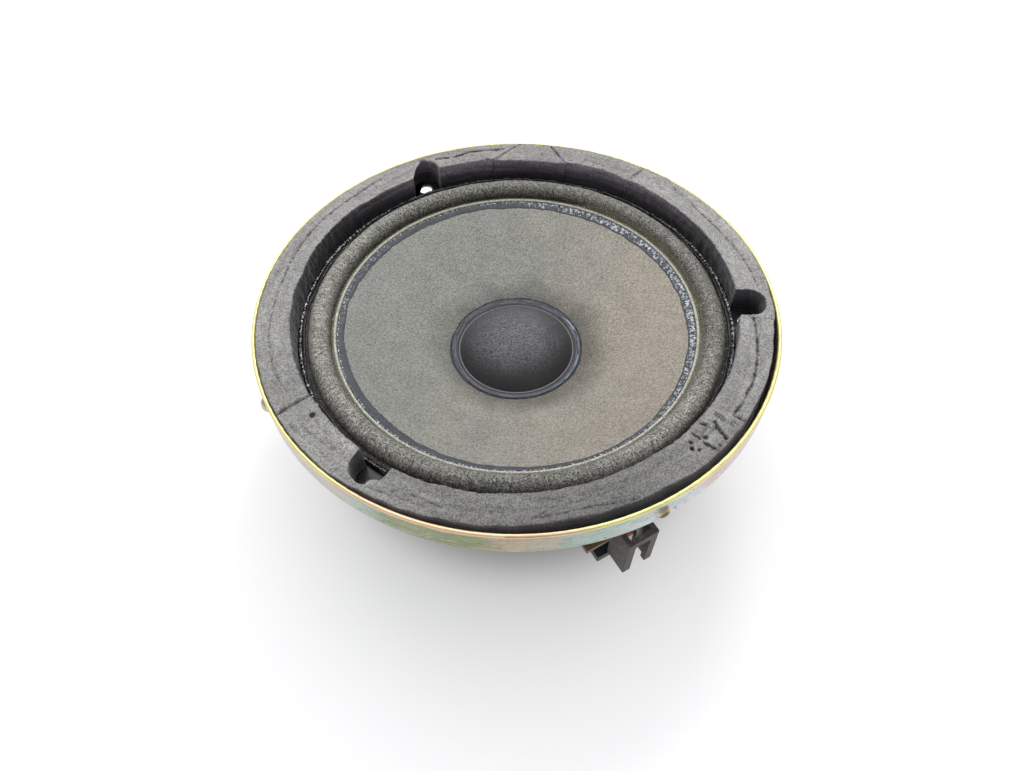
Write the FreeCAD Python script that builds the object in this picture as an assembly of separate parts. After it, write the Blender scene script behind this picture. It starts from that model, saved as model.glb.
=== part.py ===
import FreeCAD, Part
import math
import os

# A 165 mm class car door loudspeaker: pressed steel basket with an upturned lip, foam gasket,
# foam surround, woven cone, dust cap, voice coil, ferrite magnet and a side connector.
# Millimetres. The origin is on the cone's axis, in the plane of the underside of the mounting seat.
# +Z points out of the cone, and +X goes through the centre of one mounting hole.

Vector = FreeCAD.Vector
AXIS_POINT = Vector(0, 0, 0)
UP = Vector(0, 0, 1)
PARTS_FOLDER = "parts"

# Rim and mounting seat
SHEET = 1.2                      # pressed steel thickness
HALF_SHEET = SHEET / 2
RIM_RADIUS = 83.0                # outside of the upturned lip
LIP_TOP = 10.4
LIP_BEND = 1.6                   # centre line radius where the seat turns up into the lip
HOLE_CIRCLE = 75.0               # mounting hole centres
HOLE_RADIUS = 2.6
HOLE_ANGLES = (0.0, 120.0, 240.0)
DIMPLE_ANGLES = (30.0, 120.0, 210.0, 300.0)
DIMPLE_OUTER = 2.9               # ball radius of the outside of a dimple
DIMPLE_INNER = 1.7
DIMPLE_SET_BACK = 0.4            # how far the inner ball's centre sits behind the outer one's
DIMPLE_HEIGHT = 5.4
DIMPLE_PROUD = 1.4

# Basket below the seat, as centre line stations
THROAT_RADIUS = 68.6
THROAT_FOOT_RADIUS = 66.8
SHOULDER_Z = -15.8
LANDING_Z = -23.6
LANDING_OUTER = 41.0
LANDING_INNER = 35.0
FLOOR_OUTER = 33.4
FLOOR_Z = -27.8
FLOOR_HOLE = 16.0
WINDOW_ANGLES = (30.0, 90.0, 150.0, 210.0, 270.0, 330.0)
WINDOW_INNER = 44.5
WINDOW_OUTER = 62.0
WINDOW_HALF_ANGLE = 21.0
WINDOW_CORNER = 3.0
WINDOW_SHOULDER = 2.0            # how far the window's outer corners sit inside its outer radius
BASKET_BENDS = (1.8, 3.0, 3.0, 1.2, 1.2)     # centre line radii below the lip's bend
LEAD_WINDOW = (60.0, 76.0)       # radial reach of the way through the wall for the leads
LEAD_WINDOW_HALF_WIDTH = 6.0
LEAD_WINDOW_TOP = -6.8

# Foam gasket
GASKET_INNER = 70.8
GASKET_OUTER = 81.0
GASKET_FRONT_OUTER = 79.6        # the front strip sits slightly in from the lip
GASKET_TOP = 10.9
GASKET_FOOT = SHEET + 0.05
NOTCH_WIDTH = 11.0
NOTCH_END = 79.2
SEAM_GAP = 0.1                   # degrees left open on each side of a seam
# Each seam: its angle at the inner edge, then at the outer edge
SEAM_RIGHT = (-5.2, -5.2)
SEAM_BACK_RIGHT = (57.9, 55.9)
SEAM_BACK = (77.0, 83.1)
SEAM_BACK_LEFT = (99.0, 90.6)
SEAM_LEFT = (216.0, 216.8)

# Surround, cone and dust cap
ROLL_RADIUS = 64.0
ROLL_HALF_WIDTH = 3.4
ROLL_BASE = 2.1
SURROUND_SHEET = 0.9
SURROUND_INNER = 58.8            # inner edge of the lip that lies on the cone
SURROUND_LIP = 0.6
SURROUND_OUTER = 70.3
SURROUND_FLANGE = 0.8
GLUE_LINE = 0.02                 # the hairline left between an adhesive and what it lies on
FLANGE_GLUE = (69.1, 70.6)       # adhesive on the surround's outer flange
FLANGE_GLUE_CROWN = 69.9
FLANGE_GLUE_HEIGHT = 0.95
CONE_GLUE = (56.2, 58.5)         # adhesive inside the surround's lip
CONE_GLUE_HEIGHT = 0.6
CONE_EDGE = 60.1
CONE_BEND = 57.3
CONE_EDGE_TOP = 0.8
CONE_SHEET = 0.6
NECK_RADIUS = 13.0
NECK_Z = -18.4
CAP_RADIUS = 19.7
CAP_FLANGE = 22.4
CAP_HEIGHT = 6.7
CAP_SHEET = 0.5
CAP_GAP = 0.05
CAP_GLUE_WIDTH = 1.05
CAP_GLUE_HEIGHT = 0.6
NECK_GLUE_WIDTH = 1.8
NECK_GLUE_HEIGHT = 1.6

# Voice coil
FORMER_INNER = 12.7
FORMER_OUTER = 12.95
FORMER_BOTTOM = -37.0
WINDING_OUTER = 13.6
WINDING_LENGTH = 8.0
FORMER_PROUD = 1.0               # the former's top stands this far above the cone's neck
LEADOUT_RADIUS = 0.25
LEADOUT_CLEAR = 0.5              # below the cone's back face
PAD_RADIUS = 27.0                # where the leads join the coil's wires
PAD_FOOT = 1.6
PAD_TOP = 1.0
PAD_HEIGHT = 1.1
PAD_CLEAR = 0.08

# Spider
SPIDER_SHEET = 0.4
SPIDER_INNER = 13.1
SPIDER_OUTER = 40.4
SPIDER_PITCH = 3.6
SPIDER_WAVE = 0.85
SPIDER_BEND = 0.5
SPIDER_FIRST_WAVE = 1.2          # inside the landing

# Magnet assembly, from the back
MAGNET_BACK = -49.6
BACK_PLATE = 4.0
MAGNET_THICKNESS = 13.0
GLUE = 0.1
TOP_PLATE = 4.0
BACK_PLATE_RADIUS = 34.5
MAGNET_RADIUS = 36.0
MAGNET_BORE = 17.0
TOP_PLATE_RADIUS = 34.0
GAP_OUTER = 14.0
POLE_RADIUS = 12.3
VENT_RADIUS = 4.0
MESH_RADIUS = 6.0
MESH_THICKNESS = 0.5
RIVET_CIRCLE = 25.0
RIVET_ANGLES = (45.0, 135.0, 225.0, 315.0)
RIVET_SHANK = 1.9
RIVET_HEAD = 3.2
RIVET_HEAD_HEIGHT = 1.2
RIVET_HEAD_ROUND = 0.9
RIVET_CLEARANCE = 0.1
RIVET_SEAT_GAP = 0.2             # left under each shank
BACK_PLATE_EDGE = 0.8
MAGNET_EDGE = 1.0
TOP_PLATE_EDGE = 0.6
POLE_EDGE = 0.5
POLE_NECK_STEP = 2.5             # the pole's neck in the back plate is this much smaller
MESH_RECESS = 0.4
MAGNET_GLUE_INSET = 1.2

# Terminal, in its own frame: u runs outward from the axis, v along the rim, then turned to its angle
TERMINAL_ANGLE = -57.6
TAB_TOP = -15.2
TAB_REACH = 73.4
BOARD_THICKNESS = 1.6
BOARD_INNER = 68.2
BOARD_OUTER = 75.9
BOARD_LEFT = -21.0
BOARD_RIGHT = 13.0
BOARD_RIVETS = ((71.2, -17.5), (71.2, 8.5))
BOARD_RIVET_HOLE = 1.4
BOARD_RIVET_SHANK = 1.3
BOARD_RIVET_HEAD = 2.4
BOARD_RIVET_HEAD_HEIGHT = 0.8
TAB_MARGIN = 1.5                 # the tab is this much narrower than the board at each end
SHROUD_INNER = 74.3
SHROUD_OUTER = 82.3
SHROUD_LEFT = -11.5
SHROUD_RIGHT = -1.1
SHROUD_TOP = -9.6
SHROUD_BOTTOM = -27.2
SHROUD_WALL = 1.6
SHROUD_FRONT = 1.8
SLOT_TOP = -12.5
SLOT_MARGIN = 2.6
SLOT_ROUND = 0.9
SHROUD_ROUND = 0.3
SHROUD_GAP = 0.1                 # between the shroud and the board's cut-out
EAR_INNER = 71.0
EAR_HEIGHT = 2.6
BLOCK_LEFT = -15.1
BLOCK_RIGHT = 2.5
BLOCK_FRONT = 71.0
FOOT_FRONT = 74.8
BLOCK_BOTTOM = -30.0
BLOCK_INSET = 0.8                # inside the board's inner edge
BLOCK_ROUND = 0.5
BLADE_V = {"positive": -8.2, "negative": -4.4}
BLADE_MIDDLE = (BLADE_V["positive"] + BLADE_V["negative"]) / 2
BLADE_WIDTH = 2.4
BLADE_THICKNESS = 0.8
BLADE_INNER = 69.2
BLADE_DROP = 78.4
BLADE_TIP = -20.0
BLADE_TIP_CHAMFER = 0.3
BLADE_BEND_ROUND = 0.6
SOLDER_FOOT = 1.3
SOLDER_TOP = 0.8
SOLDER_HEIGHT = 1.3
SOLDER_INSET = 1.8
SLEEVE_REACH = (74.6, 78.2)
SLEEVE_HALF_WIDTH = 1.4
SLEEVE_HEIGHT = 1.9
SLEEVE_ROUND = 0.8
LEAD_RADIUS = 0.6
LEAD_START = (0.55, -2.1)        # radial and upward offset of a lead's start from the cone's back at its pad
# The middle corners of a lead: radial station, sideways offset from its blade, how far the two leads
# spread there, and height
LEAD_CORNERS = ((41.0, 4.6, 0.8, -18.6), (50.5, 2.2, 0.0, -17.4), (59.5, 0.8, 0.0, -13.2), (66.0, 0.0, 0.0, -10.9))
LEAD_FIRST_CORNER = (32.5, -1.0, 0.6, -17.2)
LEAD_END = (0.45, -12.05)        # past the blade's inner end, and height in the solder
LEAD_ARC_SHARE = 0.45            # how much of each straight run the bends at its ends may use


# ---------------------------------------------------------------- helpers

def at(radius, height):
    """A point of a revolved outline."""
    return Vector(radius, 0, height)


def polar(radius, angle, height=0.0):
    turn = math.radians(angle)
    return Vector(radius * math.cos(turn), radius * math.sin(turn), height)


def turned(shape, angle):
    copy = shape.copy()
    copy.rotate(AXIS_POINT, UP, angle)
    return copy


def on_terminal(shape):
    """Turns a shape from the terminal's own frame to its place on the basket."""
    return turned(shape, TERMINAL_ANGLE)


def revolved(points):
    """A ring or disc from an outline of straight edges."""
    wire = Part.makePolygon(points + [points[0]])
    return Part.Face(wire).revolve(AXIS_POINT, UP, 360)


def ring(inner, outer, bottom, top):
    if inner <= 0:
        return Part.makeCylinder(outer, top - bottom, Vector(0, 0, bottom))
    return revolved([at(inner, bottom), at(outer, bottom), at(outer, top), at(inner, top)])


def chamfered_disc(outer, bottom, top, edge):
    points = [at(0, bottom), at(outer - edge, bottom), at(outer, bottom + edge),
              at(outer, top - edge), at(outer - edge, top), at(0, top)]
    return revolved(points)


def block(u_low, u_high, v_low, v_high, z_low, z_high):
    corner = Vector(u_low, v_low, z_low)
    return Part.makeBox(u_high - u_low, v_high - v_low, z_high - z_low, corner)


def arc_through(start, middle, end):
    return Part.Arc(start, middle, end).toShape()


def bend_data(before, corner, after, radius):
    """Where a bend of the given centre line radius starts and ends, and its centre."""
    back = (before - corner).normalize()
    ahead = (after - corner).normalize()
    half = back.getAngle(ahead) / 2
    reach = radius / math.tan(half)
    centre = corner + (back + ahead).normalize() * (radius / math.sin(half))
    return corner + back * reach, corner + ahead * reach, centre


def offset_line(start, end, distance):
    """A straight centre line piece, moved sideways in the outline's plane."""
    along = (end - start).normalize()
    side = Vector(-along.z, 0, along.x) * distance
    return start + side, end + side


def sheet_outline(points, radii, thickness, round_start=False):
    """The closed outline of a sheet that follows a centre line with rounded bends."""
    stops = [points[0]]
    bends = []
    for index, radius in enumerate(radii):
        start, end, centre = bend_data(*points[index:index + 3], radius)
        bends.append((start, end, centre))
        stops += [start, end]
    stops.append(points[-1])
    edges = {1: [], -1: []}
    for side in (1, -1):
        distance = side * thickness / 2
        previous_end = None
        for index in range(len(points) - 1):
            line_start, line_end = offset_line(stops[2 * index], stops[2 * index + 1], distance)
            if previous_end is not None:
                centre = bends[index - 1][2]
                middle_way = (previous_end - centre).normalize() + (line_start - centre).normalize()
                middle = centre + middle_way.normalize() * (line_start - centre).Length
                edges[side].append(arc_through(previous_end, middle, line_start))
            edges[side].append(Part.LineSegment(line_start, line_end).toShape())
            previous_end = line_end
    first_left = edges[1][0].Vertexes[0].Point
    first_right = edges[-1][0].Vertexes[0].Point
    last_left = edges[1][-1].Vertexes[-1].Point
    last_right = edges[-1][-1].Vertexes[-1].Point
    if round_start:
        outward = (points[0] - points[1]).normalize() * (thickness / 2)
        cap = arc_through(first_right, points[0] + outward, first_left)
    else:
        cap = Part.LineSegment(first_right, first_left).toShape()
    end_cap = Part.LineSegment(last_left, last_right).toShape()
    ordered = Part.sortEdges(edges[1] + edges[-1] + [cap, end_cap])[0]
    return Part.Wire(ordered)


def sheet_ring(points, radii, thickness, round_start=False):
    outline = sheet_outline(points, radii, thickness, round_start)
    return Part.Face(outline).revolve(AXIS_POINT, UP, 360)


def cone_face_height(radius):
    """Height of the cone's front face."""
    slope = (CONE_EDGE_TOP - NECK_Z) / (CONE_BEND - NECK_RADIUS)
    return NECK_Z + (radius - NECK_RADIUS) * slope


def rounded_prism(corners, radius, bottom, top):
    """A prism whose upright edges are rounded."""
    wire = Part.makePolygon(corners + [corners[0]])
    prism = Part.Face(wire).extrude(Vector(0, 0, top - bottom))
    prism.translate(Vector(0, 0, bottom))
    upright = [edge for edge in prism.Edges
               if abs(edge.Vertexes[0].Point.z - edge.Vertexes[-1].Point.z) > 0.5 * (top - bottom)]
    return prism.makeFillet(radius, upright)


# ---------------------------------------------------------------- basket

def rim_holes():
    drills = [Part.makeCylinder(HOLE_RADIUS, 3 * SHEET, polar(HOLE_CIRCLE, angle, -SHEET))
              for angle in HOLE_ANGLES]
    return Part.makeCompound(drills)


def basket_window():
    """One window through the sloping wall, pointing along +X and cut straight down."""
    half_inner = WINDOW_INNER * math.tan(math.radians(WINDOW_HALF_ANGLE))
    half_outer = WINDOW_OUTER * math.sin(math.radians(WINDOW_HALF_ANGLE))
    shoulder = WINDOW_OUTER - WINDOW_SHOULDER
    corners = [Vector(WINDOW_INNER, -half_inner, 0), Vector(shoulder, -half_outer, 0),
               Vector(WINDOW_OUTER + 0.5, 0, 0),
               Vector(shoulder, half_outer, 0), Vector(WINDOW_INNER, half_inner, 0)]
    return rounded_prism(corners, WINDOW_CORNER, LANDING_Z - 5, SHOULDER_Z + 10)


def terminal_tab():
    """The flat tab pressed out of the basket's wall, which carries the terminal."""
    strip = ring(THROAT_FOOT_RADIUS - 1.5 * HALF_SHEET, TAB_REACH + 12, TAB_TOP - SHEET, TAB_TOP)
    width = block(55, TAB_REACH, BOARD_LEFT + TAB_MARGIN, BOARD_RIGHT - TAB_MARGIN, TAB_TOP - 5, TAB_TOP + 5)
    return on_terminal(strip.common(width))


def lead_window():
    """The way through the basket's wall for the two tinsel leads."""
    opening = block(*LEAD_WINDOW, BLADE_MIDDLE - LEAD_WINDOW_HALF_WIDTH, BLADE_MIDDLE + LEAD_WINDOW_HALF_WIDTH,
                    TAB_TOP + BOARD_THICKNESS, LEAD_WINDOW_TOP)
    return on_terminal(opening)


def board_rivet_drills():
    drills = [Part.makeCylinder(BOARD_RIVET_HOLE, 12, Vector(u, v, TAB_TOP - 6))
              for u, v in BOARD_RIVETS]
    return on_terminal(Part.makeCompound(drills))


def plate_rivet_drills():
    drills = [Part.makeCylinder(RIVET_SHANK + RIVET_CLEARANCE, 12, polar(RIVET_CIRCLE, angle, FLOOR_Z - 7.2))
              for angle in RIVET_ANGLES]
    return Part.makeCompound(drills)


def basket():
    stations = [at(RIM_RADIUS - HALF_SHEET, LIP_TOP - HALF_SHEET),
                at(RIM_RADIUS - HALF_SHEET, HALF_SHEET),
                at(THROAT_RADIUS, HALF_SHEET),
                at(THROAT_FOOT_RADIUS, SHOULDER_Z),
                at(LANDING_OUTER, LANDING_Z),
                at(LANDING_INNER, LANDING_Z),
                at(FLOOR_OUTER, FLOOR_Z),
                at(FLOOR_HOLE, FLOOR_Z)]
    body = sheet_ring(stations, (LIP_BEND,) + BASKET_BENDS, SHEET, round_start=True)
    reach = RIM_RADIUS + DIMPLE_PROUD
    for angle in DIMPLE_ANGLES:
        outer_centre = polar(reach - DIMPLE_OUTER, angle, DIMPLE_HEIGHT)
        inner_centre = polar(reach - DIMPLE_OUTER - DIMPLE_SET_BACK, angle, DIMPLE_HEIGHT)
        ball = Part.makeSphere(DIMPLE_OUTER, outer_centre)
        keep = ring(RIM_RADIUS - HALF_SHEET, RIM_RADIUS + 5, DIMPLE_HEIGHT - 4, DIMPLE_HEIGHT + 4)
        body = body.fuse(ball.common(keep))
        body = body.cut(Part.makeSphere(DIMPLE_INNER, inner_centre))
    body = body.fuse(terminal_tab())
    for angle in WINDOW_ANGLES:
        body = body.cut(turned(basket_window(), angle))
    body = body.cut(lead_window())
    body = body.cut(rim_holes())
    body = body.cut(board_rivet_drills())
    body = body.cut(plate_rivet_drills())
    return body


# ---------------------------------------------------------------- foam gasket

def seam_line(seam, shift):
    """Two far points on a seam, turned a little so that neighbouring strips don't overlap."""
    inner = polar(GASKET_INNER, seam[0] + shift)
    outer = polar(GASKET_OUTER, seam[1] + shift)
    along = outer - inner
    return inner - along * 0.8, outer + along * 0.8


def sector(first_seam, last_seam):
    """A block that covers the ring from one seam round to the next."""
    inner_start, outer_start = seam_line(first_seam, SEAM_GAP)
    inner_end, outer_end = seam_line(last_seam, -SEAM_GAP)
    first = first_seam[1]
    last = last_seam[1]
    steps = max(2, math.ceil((last - first) / 20))
    angles = [first + (last - first) * step / steps for step in range(1, steps)]
    outline = [inner_start, outer_start]
    outline += [polar(110, angle) for angle in angles]
    outline += [outer_end, inner_end]
    outline += [polar(48, angle) for angle in reversed(angles)]
    wire = Part.makePolygon(outline + [outline[0]])
    return Part.Face(wire).extrude(Vector(0, 0, GASKET_TOP + 10))


def notch(angle):
    """The U-shaped cut-out that gives a screwdriver room over a mounting hole."""
    half = NOTCH_WIDTH / 2
    end = Part.makeCylinder(half, GASKET_TOP + 10, Vector(NOTCH_END - half, 0, 0))
    channel = block(GASKET_INNER - 5, NOTCH_END - half, -half, half, 0, GASKET_TOP + 10)
    return turned(end.fuse(channel), angle)


def gasket_strip(first_seam, last_seam, outer=GASKET_OUTER):
    strip = ring(GASKET_INNER, outer, GASKET_FOOT, GASKET_TOP)
    strip = strip.common(sector(first_seam, last_seam))
    for angle in HOLE_ANGLES:
        strip = strip.cut(notch(angle))
    return strip


def full_turn_later(seam):
    return tuple(angle + 360 for angle in seam)


def gasket_strips():
    return {
        "gasket_strip_right": gasket_strip(SEAM_RIGHT, SEAM_BACK_RIGHT),
        "gasket_strip_back_right": gasket_strip(SEAM_BACK_RIGHT, SEAM_BACK),
        "gasket_strip_back": gasket_strip(SEAM_BACK, SEAM_BACK_LEFT),
        "gasket_strip_left": gasket_strip(SEAM_BACK_LEFT, SEAM_LEFT),
        "gasket_strip_front": gasket_strip(SEAM_LEFT, full_turn_later(SEAM_RIGHT), GASKET_FRONT_OUTER),
    }


# ---------------------------------------------------------------- surround, cone and dust cap

def surround():
    """A half roll of foam with an outer flange on the seat and an inner lip over the cone's edge."""
    outer_arc = ROLL_HALF_WIDTH + SURROUND_SHEET / 2
    inner_arc = ROLL_HALF_WIDTH - SURROUND_SHEET / 2
    seat_top = SHEET + GLUE_LINE
    lip_foot = CONE_EDGE_TOP + 0.1
    lip_top = lip_foot + SURROUND_LIP
    flange_top = seat_top + SURROUND_FLANGE
    left = ROLL_RADIUS - outer_arc
    right = ROLL_RADIUS + outer_arc
    edges = [
        arc_through(at(left, ROLL_BASE), at(ROLL_RADIUS, ROLL_BASE + outer_arc), at(right, ROLL_BASE)),
        Part.LineSegment(at(right, ROLL_BASE), at(right, flange_top)).toShape(),
        Part.LineSegment(at(right, flange_top), at(SURROUND_OUTER, flange_top)).toShape(),
        Part.LineSegment(at(SURROUND_OUTER, flange_top), at(SURROUND_OUTER, seat_top)).toShape(),
        Part.LineSegment(at(SURROUND_OUTER, seat_top), at(ROLL_RADIUS + inner_arc, seat_top)).toShape(),
        Part.LineSegment(at(ROLL_RADIUS + inner_arc, seat_top),
                         at(ROLL_RADIUS + inner_arc, ROLL_BASE)).toShape(),
        arc_through(at(ROLL_RADIUS + inner_arc, ROLL_BASE), at(ROLL_RADIUS, ROLL_BASE + inner_arc),
                    at(ROLL_RADIUS - inner_arc, ROLL_BASE)),
        Part.LineSegment(at(ROLL_RADIUS - inner_arc, ROLL_BASE),
                         at(ROLL_RADIUS - inner_arc, lip_foot)).toShape(),
        Part.LineSegment(at(ROLL_RADIUS - inner_arc, lip_foot), at(SURROUND_INNER, lip_foot)).toShape(),
        Part.LineSegment(at(SURROUND_INNER, lip_foot), at(SURROUND_INNER, lip_top)).toShape(),
        Part.LineSegment(at(SURROUND_INNER, lip_top), at(left, lip_top)).toShape(),
        Part.LineSegment(at(left, lip_top), at(left, ROLL_BASE)).toShape(),
    ]
    wire = Part.Wire(Part.sortEdges(edges)[0])
    return Part.Face(wire).revolve(AXIS_POINT, UP, 360)


def surround_adhesive():
    foot = SHEET + SURROUND_FLANGE + 2 * GLUE_LINE
    inner, outer = FLANGE_GLUE
    return revolved([at(inner, foot), at(outer, foot), at(outer - 0.1, foot + 0.7 * FLANGE_GLUE_HEIGHT),
                     at(FLANGE_GLUE_CROWN, foot + FLANGE_GLUE_HEIGHT),
                     at(inner + 0.2, foot + 0.6 * FLANGE_GLUE_HEIGHT)])


def cone():
    down = CONE_SHEET
    return revolved([at(NECK_RADIUS, NECK_Z - down), at(NECK_RADIUS, NECK_Z),
                     at(CONE_BEND, CONE_EDGE_TOP), at(CONE_EDGE, CONE_EDGE_TOP),
                     at(CONE_EDGE, CONE_EDGE_TOP - down), at(CONE_BEND + 0.1, CONE_EDGE_TOP - down)])


def cone_edge_adhesive():
    inner, outer = CONE_GLUE
    foot = CONE_EDGE_TOP + GLUE_LINE
    return revolved([at(inner, cone_face_height(inner) + GLUE_LINE), at(CONE_BEND, foot), at(outer, foot),
                     at(outer, CONE_EDGE_TOP + 0.8 * CONE_GLUE_HEIGHT),
                     at(CONE_BEND + 0.1, CONE_EDGE_TOP + CONE_GLUE_HEIGHT)])


def dust_cap():
    """A shallow dome with a flange that lies on the cone."""
    edge = cone_face_height(CAP_RADIUS) + CAP_GAP
    flange = cone_face_height(CAP_FLANGE) + CAP_GAP
    sphere = (CAP_RADIUS ** 2 + CAP_HEIGHT ** 2) / (2 * CAP_HEIGHT)
    middle = CAP_RADIUS / 2
    rise = math.sqrt(sphere ** 2 - middle ** 2) - (sphere - CAP_HEIGHT)
    edges = [
        arc_through(at(0, edge + CAP_HEIGHT), at(middle, edge + rise), at(CAP_RADIUS, edge)),
        Part.LineSegment(at(CAP_RADIUS, edge), at(CAP_FLANGE, flange)).toShape(),
        Part.LineSegment(at(CAP_FLANGE, flange), at(CAP_FLANGE, flange + CAP_SHEET)).toShape(),
        Part.LineSegment(at(CAP_FLANGE, flange + CAP_SHEET), at(CAP_RADIUS, edge + CAP_SHEET)).toShape(),
        arc_through(at(CAP_RADIUS, edge + CAP_SHEET), at(middle, edge + rise + CAP_SHEET),
                    at(0, edge + CAP_HEIGHT + CAP_SHEET)),
        Part.LineSegment(at(0, edge + CAP_HEIGHT + CAP_SHEET), at(0, edge + CAP_HEIGHT)).toShape(),
    ]
    wire = Part.Wire(Part.sortEdges(edges)[0])
    return Part.Face(wire).revolve(AXIS_POINT, UP, 360)


def dust_cap_adhesive():
    inner = CAP_FLANGE + CAP_GAP
    outer = inner + CAP_GLUE_WIDTH
    return revolved([at(inner, cone_face_height(inner) + GLUE_LINE), at(outer, cone_face_height(outer) + GLUE_LINE),
                     at(inner, cone_face_height(inner) + CAP_GLUE_HEIGHT)])


def neck_adhesive():
    inner = NECK_RADIUS + GLUE_LINE
    outer = NECK_RADIUS + NECK_GLUE_WIDTH
    return revolved([at(inner, NECK_Z + 0.05), at(outer, cone_face_height(outer) + GLUE_LINE),
                     at(inner, NECK_Z + NECK_GLUE_HEIGHT)])


# ---------------------------------------------------------------- voice coil and spider

def voice_coil_former():
    return ring(FORMER_INNER, FORMER_OUTER, FORMER_BOTTOM, NECK_Z + FORMER_PROUD)


def gap_middle():
    return MAGNET_BACK + BACK_PLATE + MAGNET_THICKNESS + 2 * GLUE + TOP_PLATE / 2


def voice_coil_winding():
    low = gap_middle() - WINDING_LENGTH / 2
    return ring(FORMER_OUTER, WINDING_OUTER, low, low + WINDING_LENGTH)


def cone_back_point(radius, angle, clear):
    """A point behind the cone, the given distance below its back face."""
    return polar(radius, TERMINAL_ANGLE + angle, cone_face_height(radius) - CONE_SHEET - clear)


def lead_angle(v):
    """The angle about the axis, from the terminal's, at which a lead meets the cone."""
    return math.degrees(math.atan2(v - BLADE_MIDDLE, PAD_RADIUS))


def coil_leadout_wires():
    wires = []
    for v in BLADE_V.values():
        angle = lead_angle(v)
        start = cone_back_point(NECK_RADIUS + 1.2, angle, LEADOUT_CLEAR)
        end = cone_back_point(PAD_RADIUS - PAD_FOOT - 0.1, angle, LEADOUT_CLEAR)
        wires.append(Part.makeCylinder(LEADOUT_RADIUS, (end - start).Length, start, end - start))
    return Part.makeCompound(wires)


def lead_pads():
    """Two drops of adhesive over the eyelets where the leads join the coil's wires."""
    pads = []
    for v in BLADE_V.values():
        angle = lead_angle(v)
        base = cone_back_point(PAD_RADIUS, angle, PAD_CLEAR)
        slope = math.atan((CONE_EDGE_TOP - NECK_Z) / (CONE_BEND - NECK_RADIUS))
        outward = polar(1, TERMINAL_ANGLE + angle)
        normal = Vector(outward.x * math.sin(slope), outward.y * math.sin(slope), -math.cos(slope))
        pads.append(Part.makeCone(PAD_FOOT, PAD_TOP, PAD_HEIGHT, base, normal))
    return Part.makeCompound(pads)


def spider():
    level = LANDING_Z + HALF_SHEET + SPIDER_SHEET / 2 + GLUE_LINE
    waves = int((LANDING_INNER - 2 - SPIDER_INNER - 2) / SPIDER_PITCH * 2)
    points = [at(SPIDER_OUTER, level), at(LANDING_INNER + 0.5, level)]
    for index in range(waves):
        radius = LANDING_INNER - SPIDER_FIRST_WAVE - index * SPIDER_PITCH / 2
        height = level + SPIDER_WAVE * (1 if index % 2 == 0 else -1)
        points.append(at(radius, height))
    points.append(at(SPIDER_INNER, level))
    bends = [SPIDER_BEND] * (len(points) - 2)
    return sheet_ring(points, bends, SPIDER_SHEET)


# ---------------------------------------------------------------- magnet assembly

def back_plate_top():
    return MAGNET_BACK + BACK_PLATE


def top_plate_bottom():
    return back_plate_top() + MAGNET_THICKNESS + 2 * GLUE


def back_plate():
    plate = chamfered_disc(BACK_PLATE_RADIUS, MAGNET_BACK, back_plate_top(), BACK_PLATE_EDGE)
    seat = ring(0, POLE_RADIUS - POLE_NECK_STEP, MAGNET_BACK - 1, back_plate_top() + 1)
    return plate.cut(seat)


def pole_piece():
    """The pole, with its neck pressed into the back plate and an open vent down the middle."""
    neck = ring(0, POLE_RADIUS - POLE_NECK_STEP, MAGNET_BACK, back_plate_top())
    post = chamfered_disc(POLE_RADIUS, back_plate_top(), top_plate_bottom() + TOP_PLATE, POLE_EDGE)
    vent = ring(0, VENT_RADIUS, MAGNET_BACK - 1, 0)
    recess = ring(0, MESH_RADIUS, MAGNET_BACK - 1, MAGNET_BACK + MESH_RECESS + MESH_THICKNESS)
    return neck.fuse(post).cut(vent).cut(recess).removeSplitter()


def vent_mesh():
    low = MAGNET_BACK + MESH_RECESS
    return ring(0, MESH_RADIUS, low, low + MESH_THICKNESS)


def magnet_ring():
    low = back_plate_top() + GLUE
    body = chamfered_disc(MAGNET_RADIUS, low, low + MAGNET_THICKNESS, MAGNET_EDGE)
    return body.cut(ring(0, MAGNET_BORE, low - 1, low + MAGNET_THICKNESS + 1))


def magnet_adhesive():
    lower = back_plate_top()
    upper = lower + GLUE + MAGNET_THICKNESS
    layers = [ring(MAGNET_BORE, BACK_PLATE_RADIUS - MAGNET_GLUE_INSET, low, low + GLUE) for low in (lower, upper)]
    return Part.makeCompound(layers)


def top_plate():
    low = top_plate_bottom()
    plate = chamfered_disc(TOP_PLATE_RADIUS, low, low + TOP_PLATE, TOP_PLATE_EDGE)
    return plate.cut(ring(0, GAP_OUTER, low - 1, low + TOP_PLATE + 1)).cut(plate_rivet_drills())


def basket_rivets():
    """Four rivets that hold the basket's floor on the top plate."""
    floor_top = FLOOR_Z + HALF_SHEET
    shank_foot = top_plate_bottom() + RIVET_SEAT_GAP
    rivets = []
    for angle in RIVET_ANGLES:
        shank = Part.makeCylinder(RIVET_SHANK, floor_top - shank_foot, polar(RIVET_CIRCLE, angle, shank_foot))
        head = Part.makeCylinder(RIVET_HEAD, RIVET_HEAD_HEIGHT, polar(RIVET_CIRCLE, angle, floor_top))
        rim = [edge for edge in head.Edges if edge.BoundBox.ZMin > floor_top + 1]
        rivets.append(shank.fuse(head.makeFillet(RIVET_HEAD_ROUND, rim)).removeSplitter())
    return Part.makeCompound(rivets)


# ---------------------------------------------------------------- terminal and leads

def terminal_board():
    board = block(BOARD_INNER, BOARD_OUTER, BOARD_LEFT, BOARD_RIGHT, TAB_TOP, TAB_TOP + BOARD_THICKNESS)
    cut_out = block(SHROUD_INNER - SHROUD_GAP, BOARD_OUTER + 1, SHROUD_LEFT - SHROUD_GAP, SHROUD_RIGHT + SHROUD_GAP,
                    TAB_TOP - 1, TAB_TOP + 3)
    return on_terminal(board.cut(cut_out)).cut(board_rivet_drills())


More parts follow.
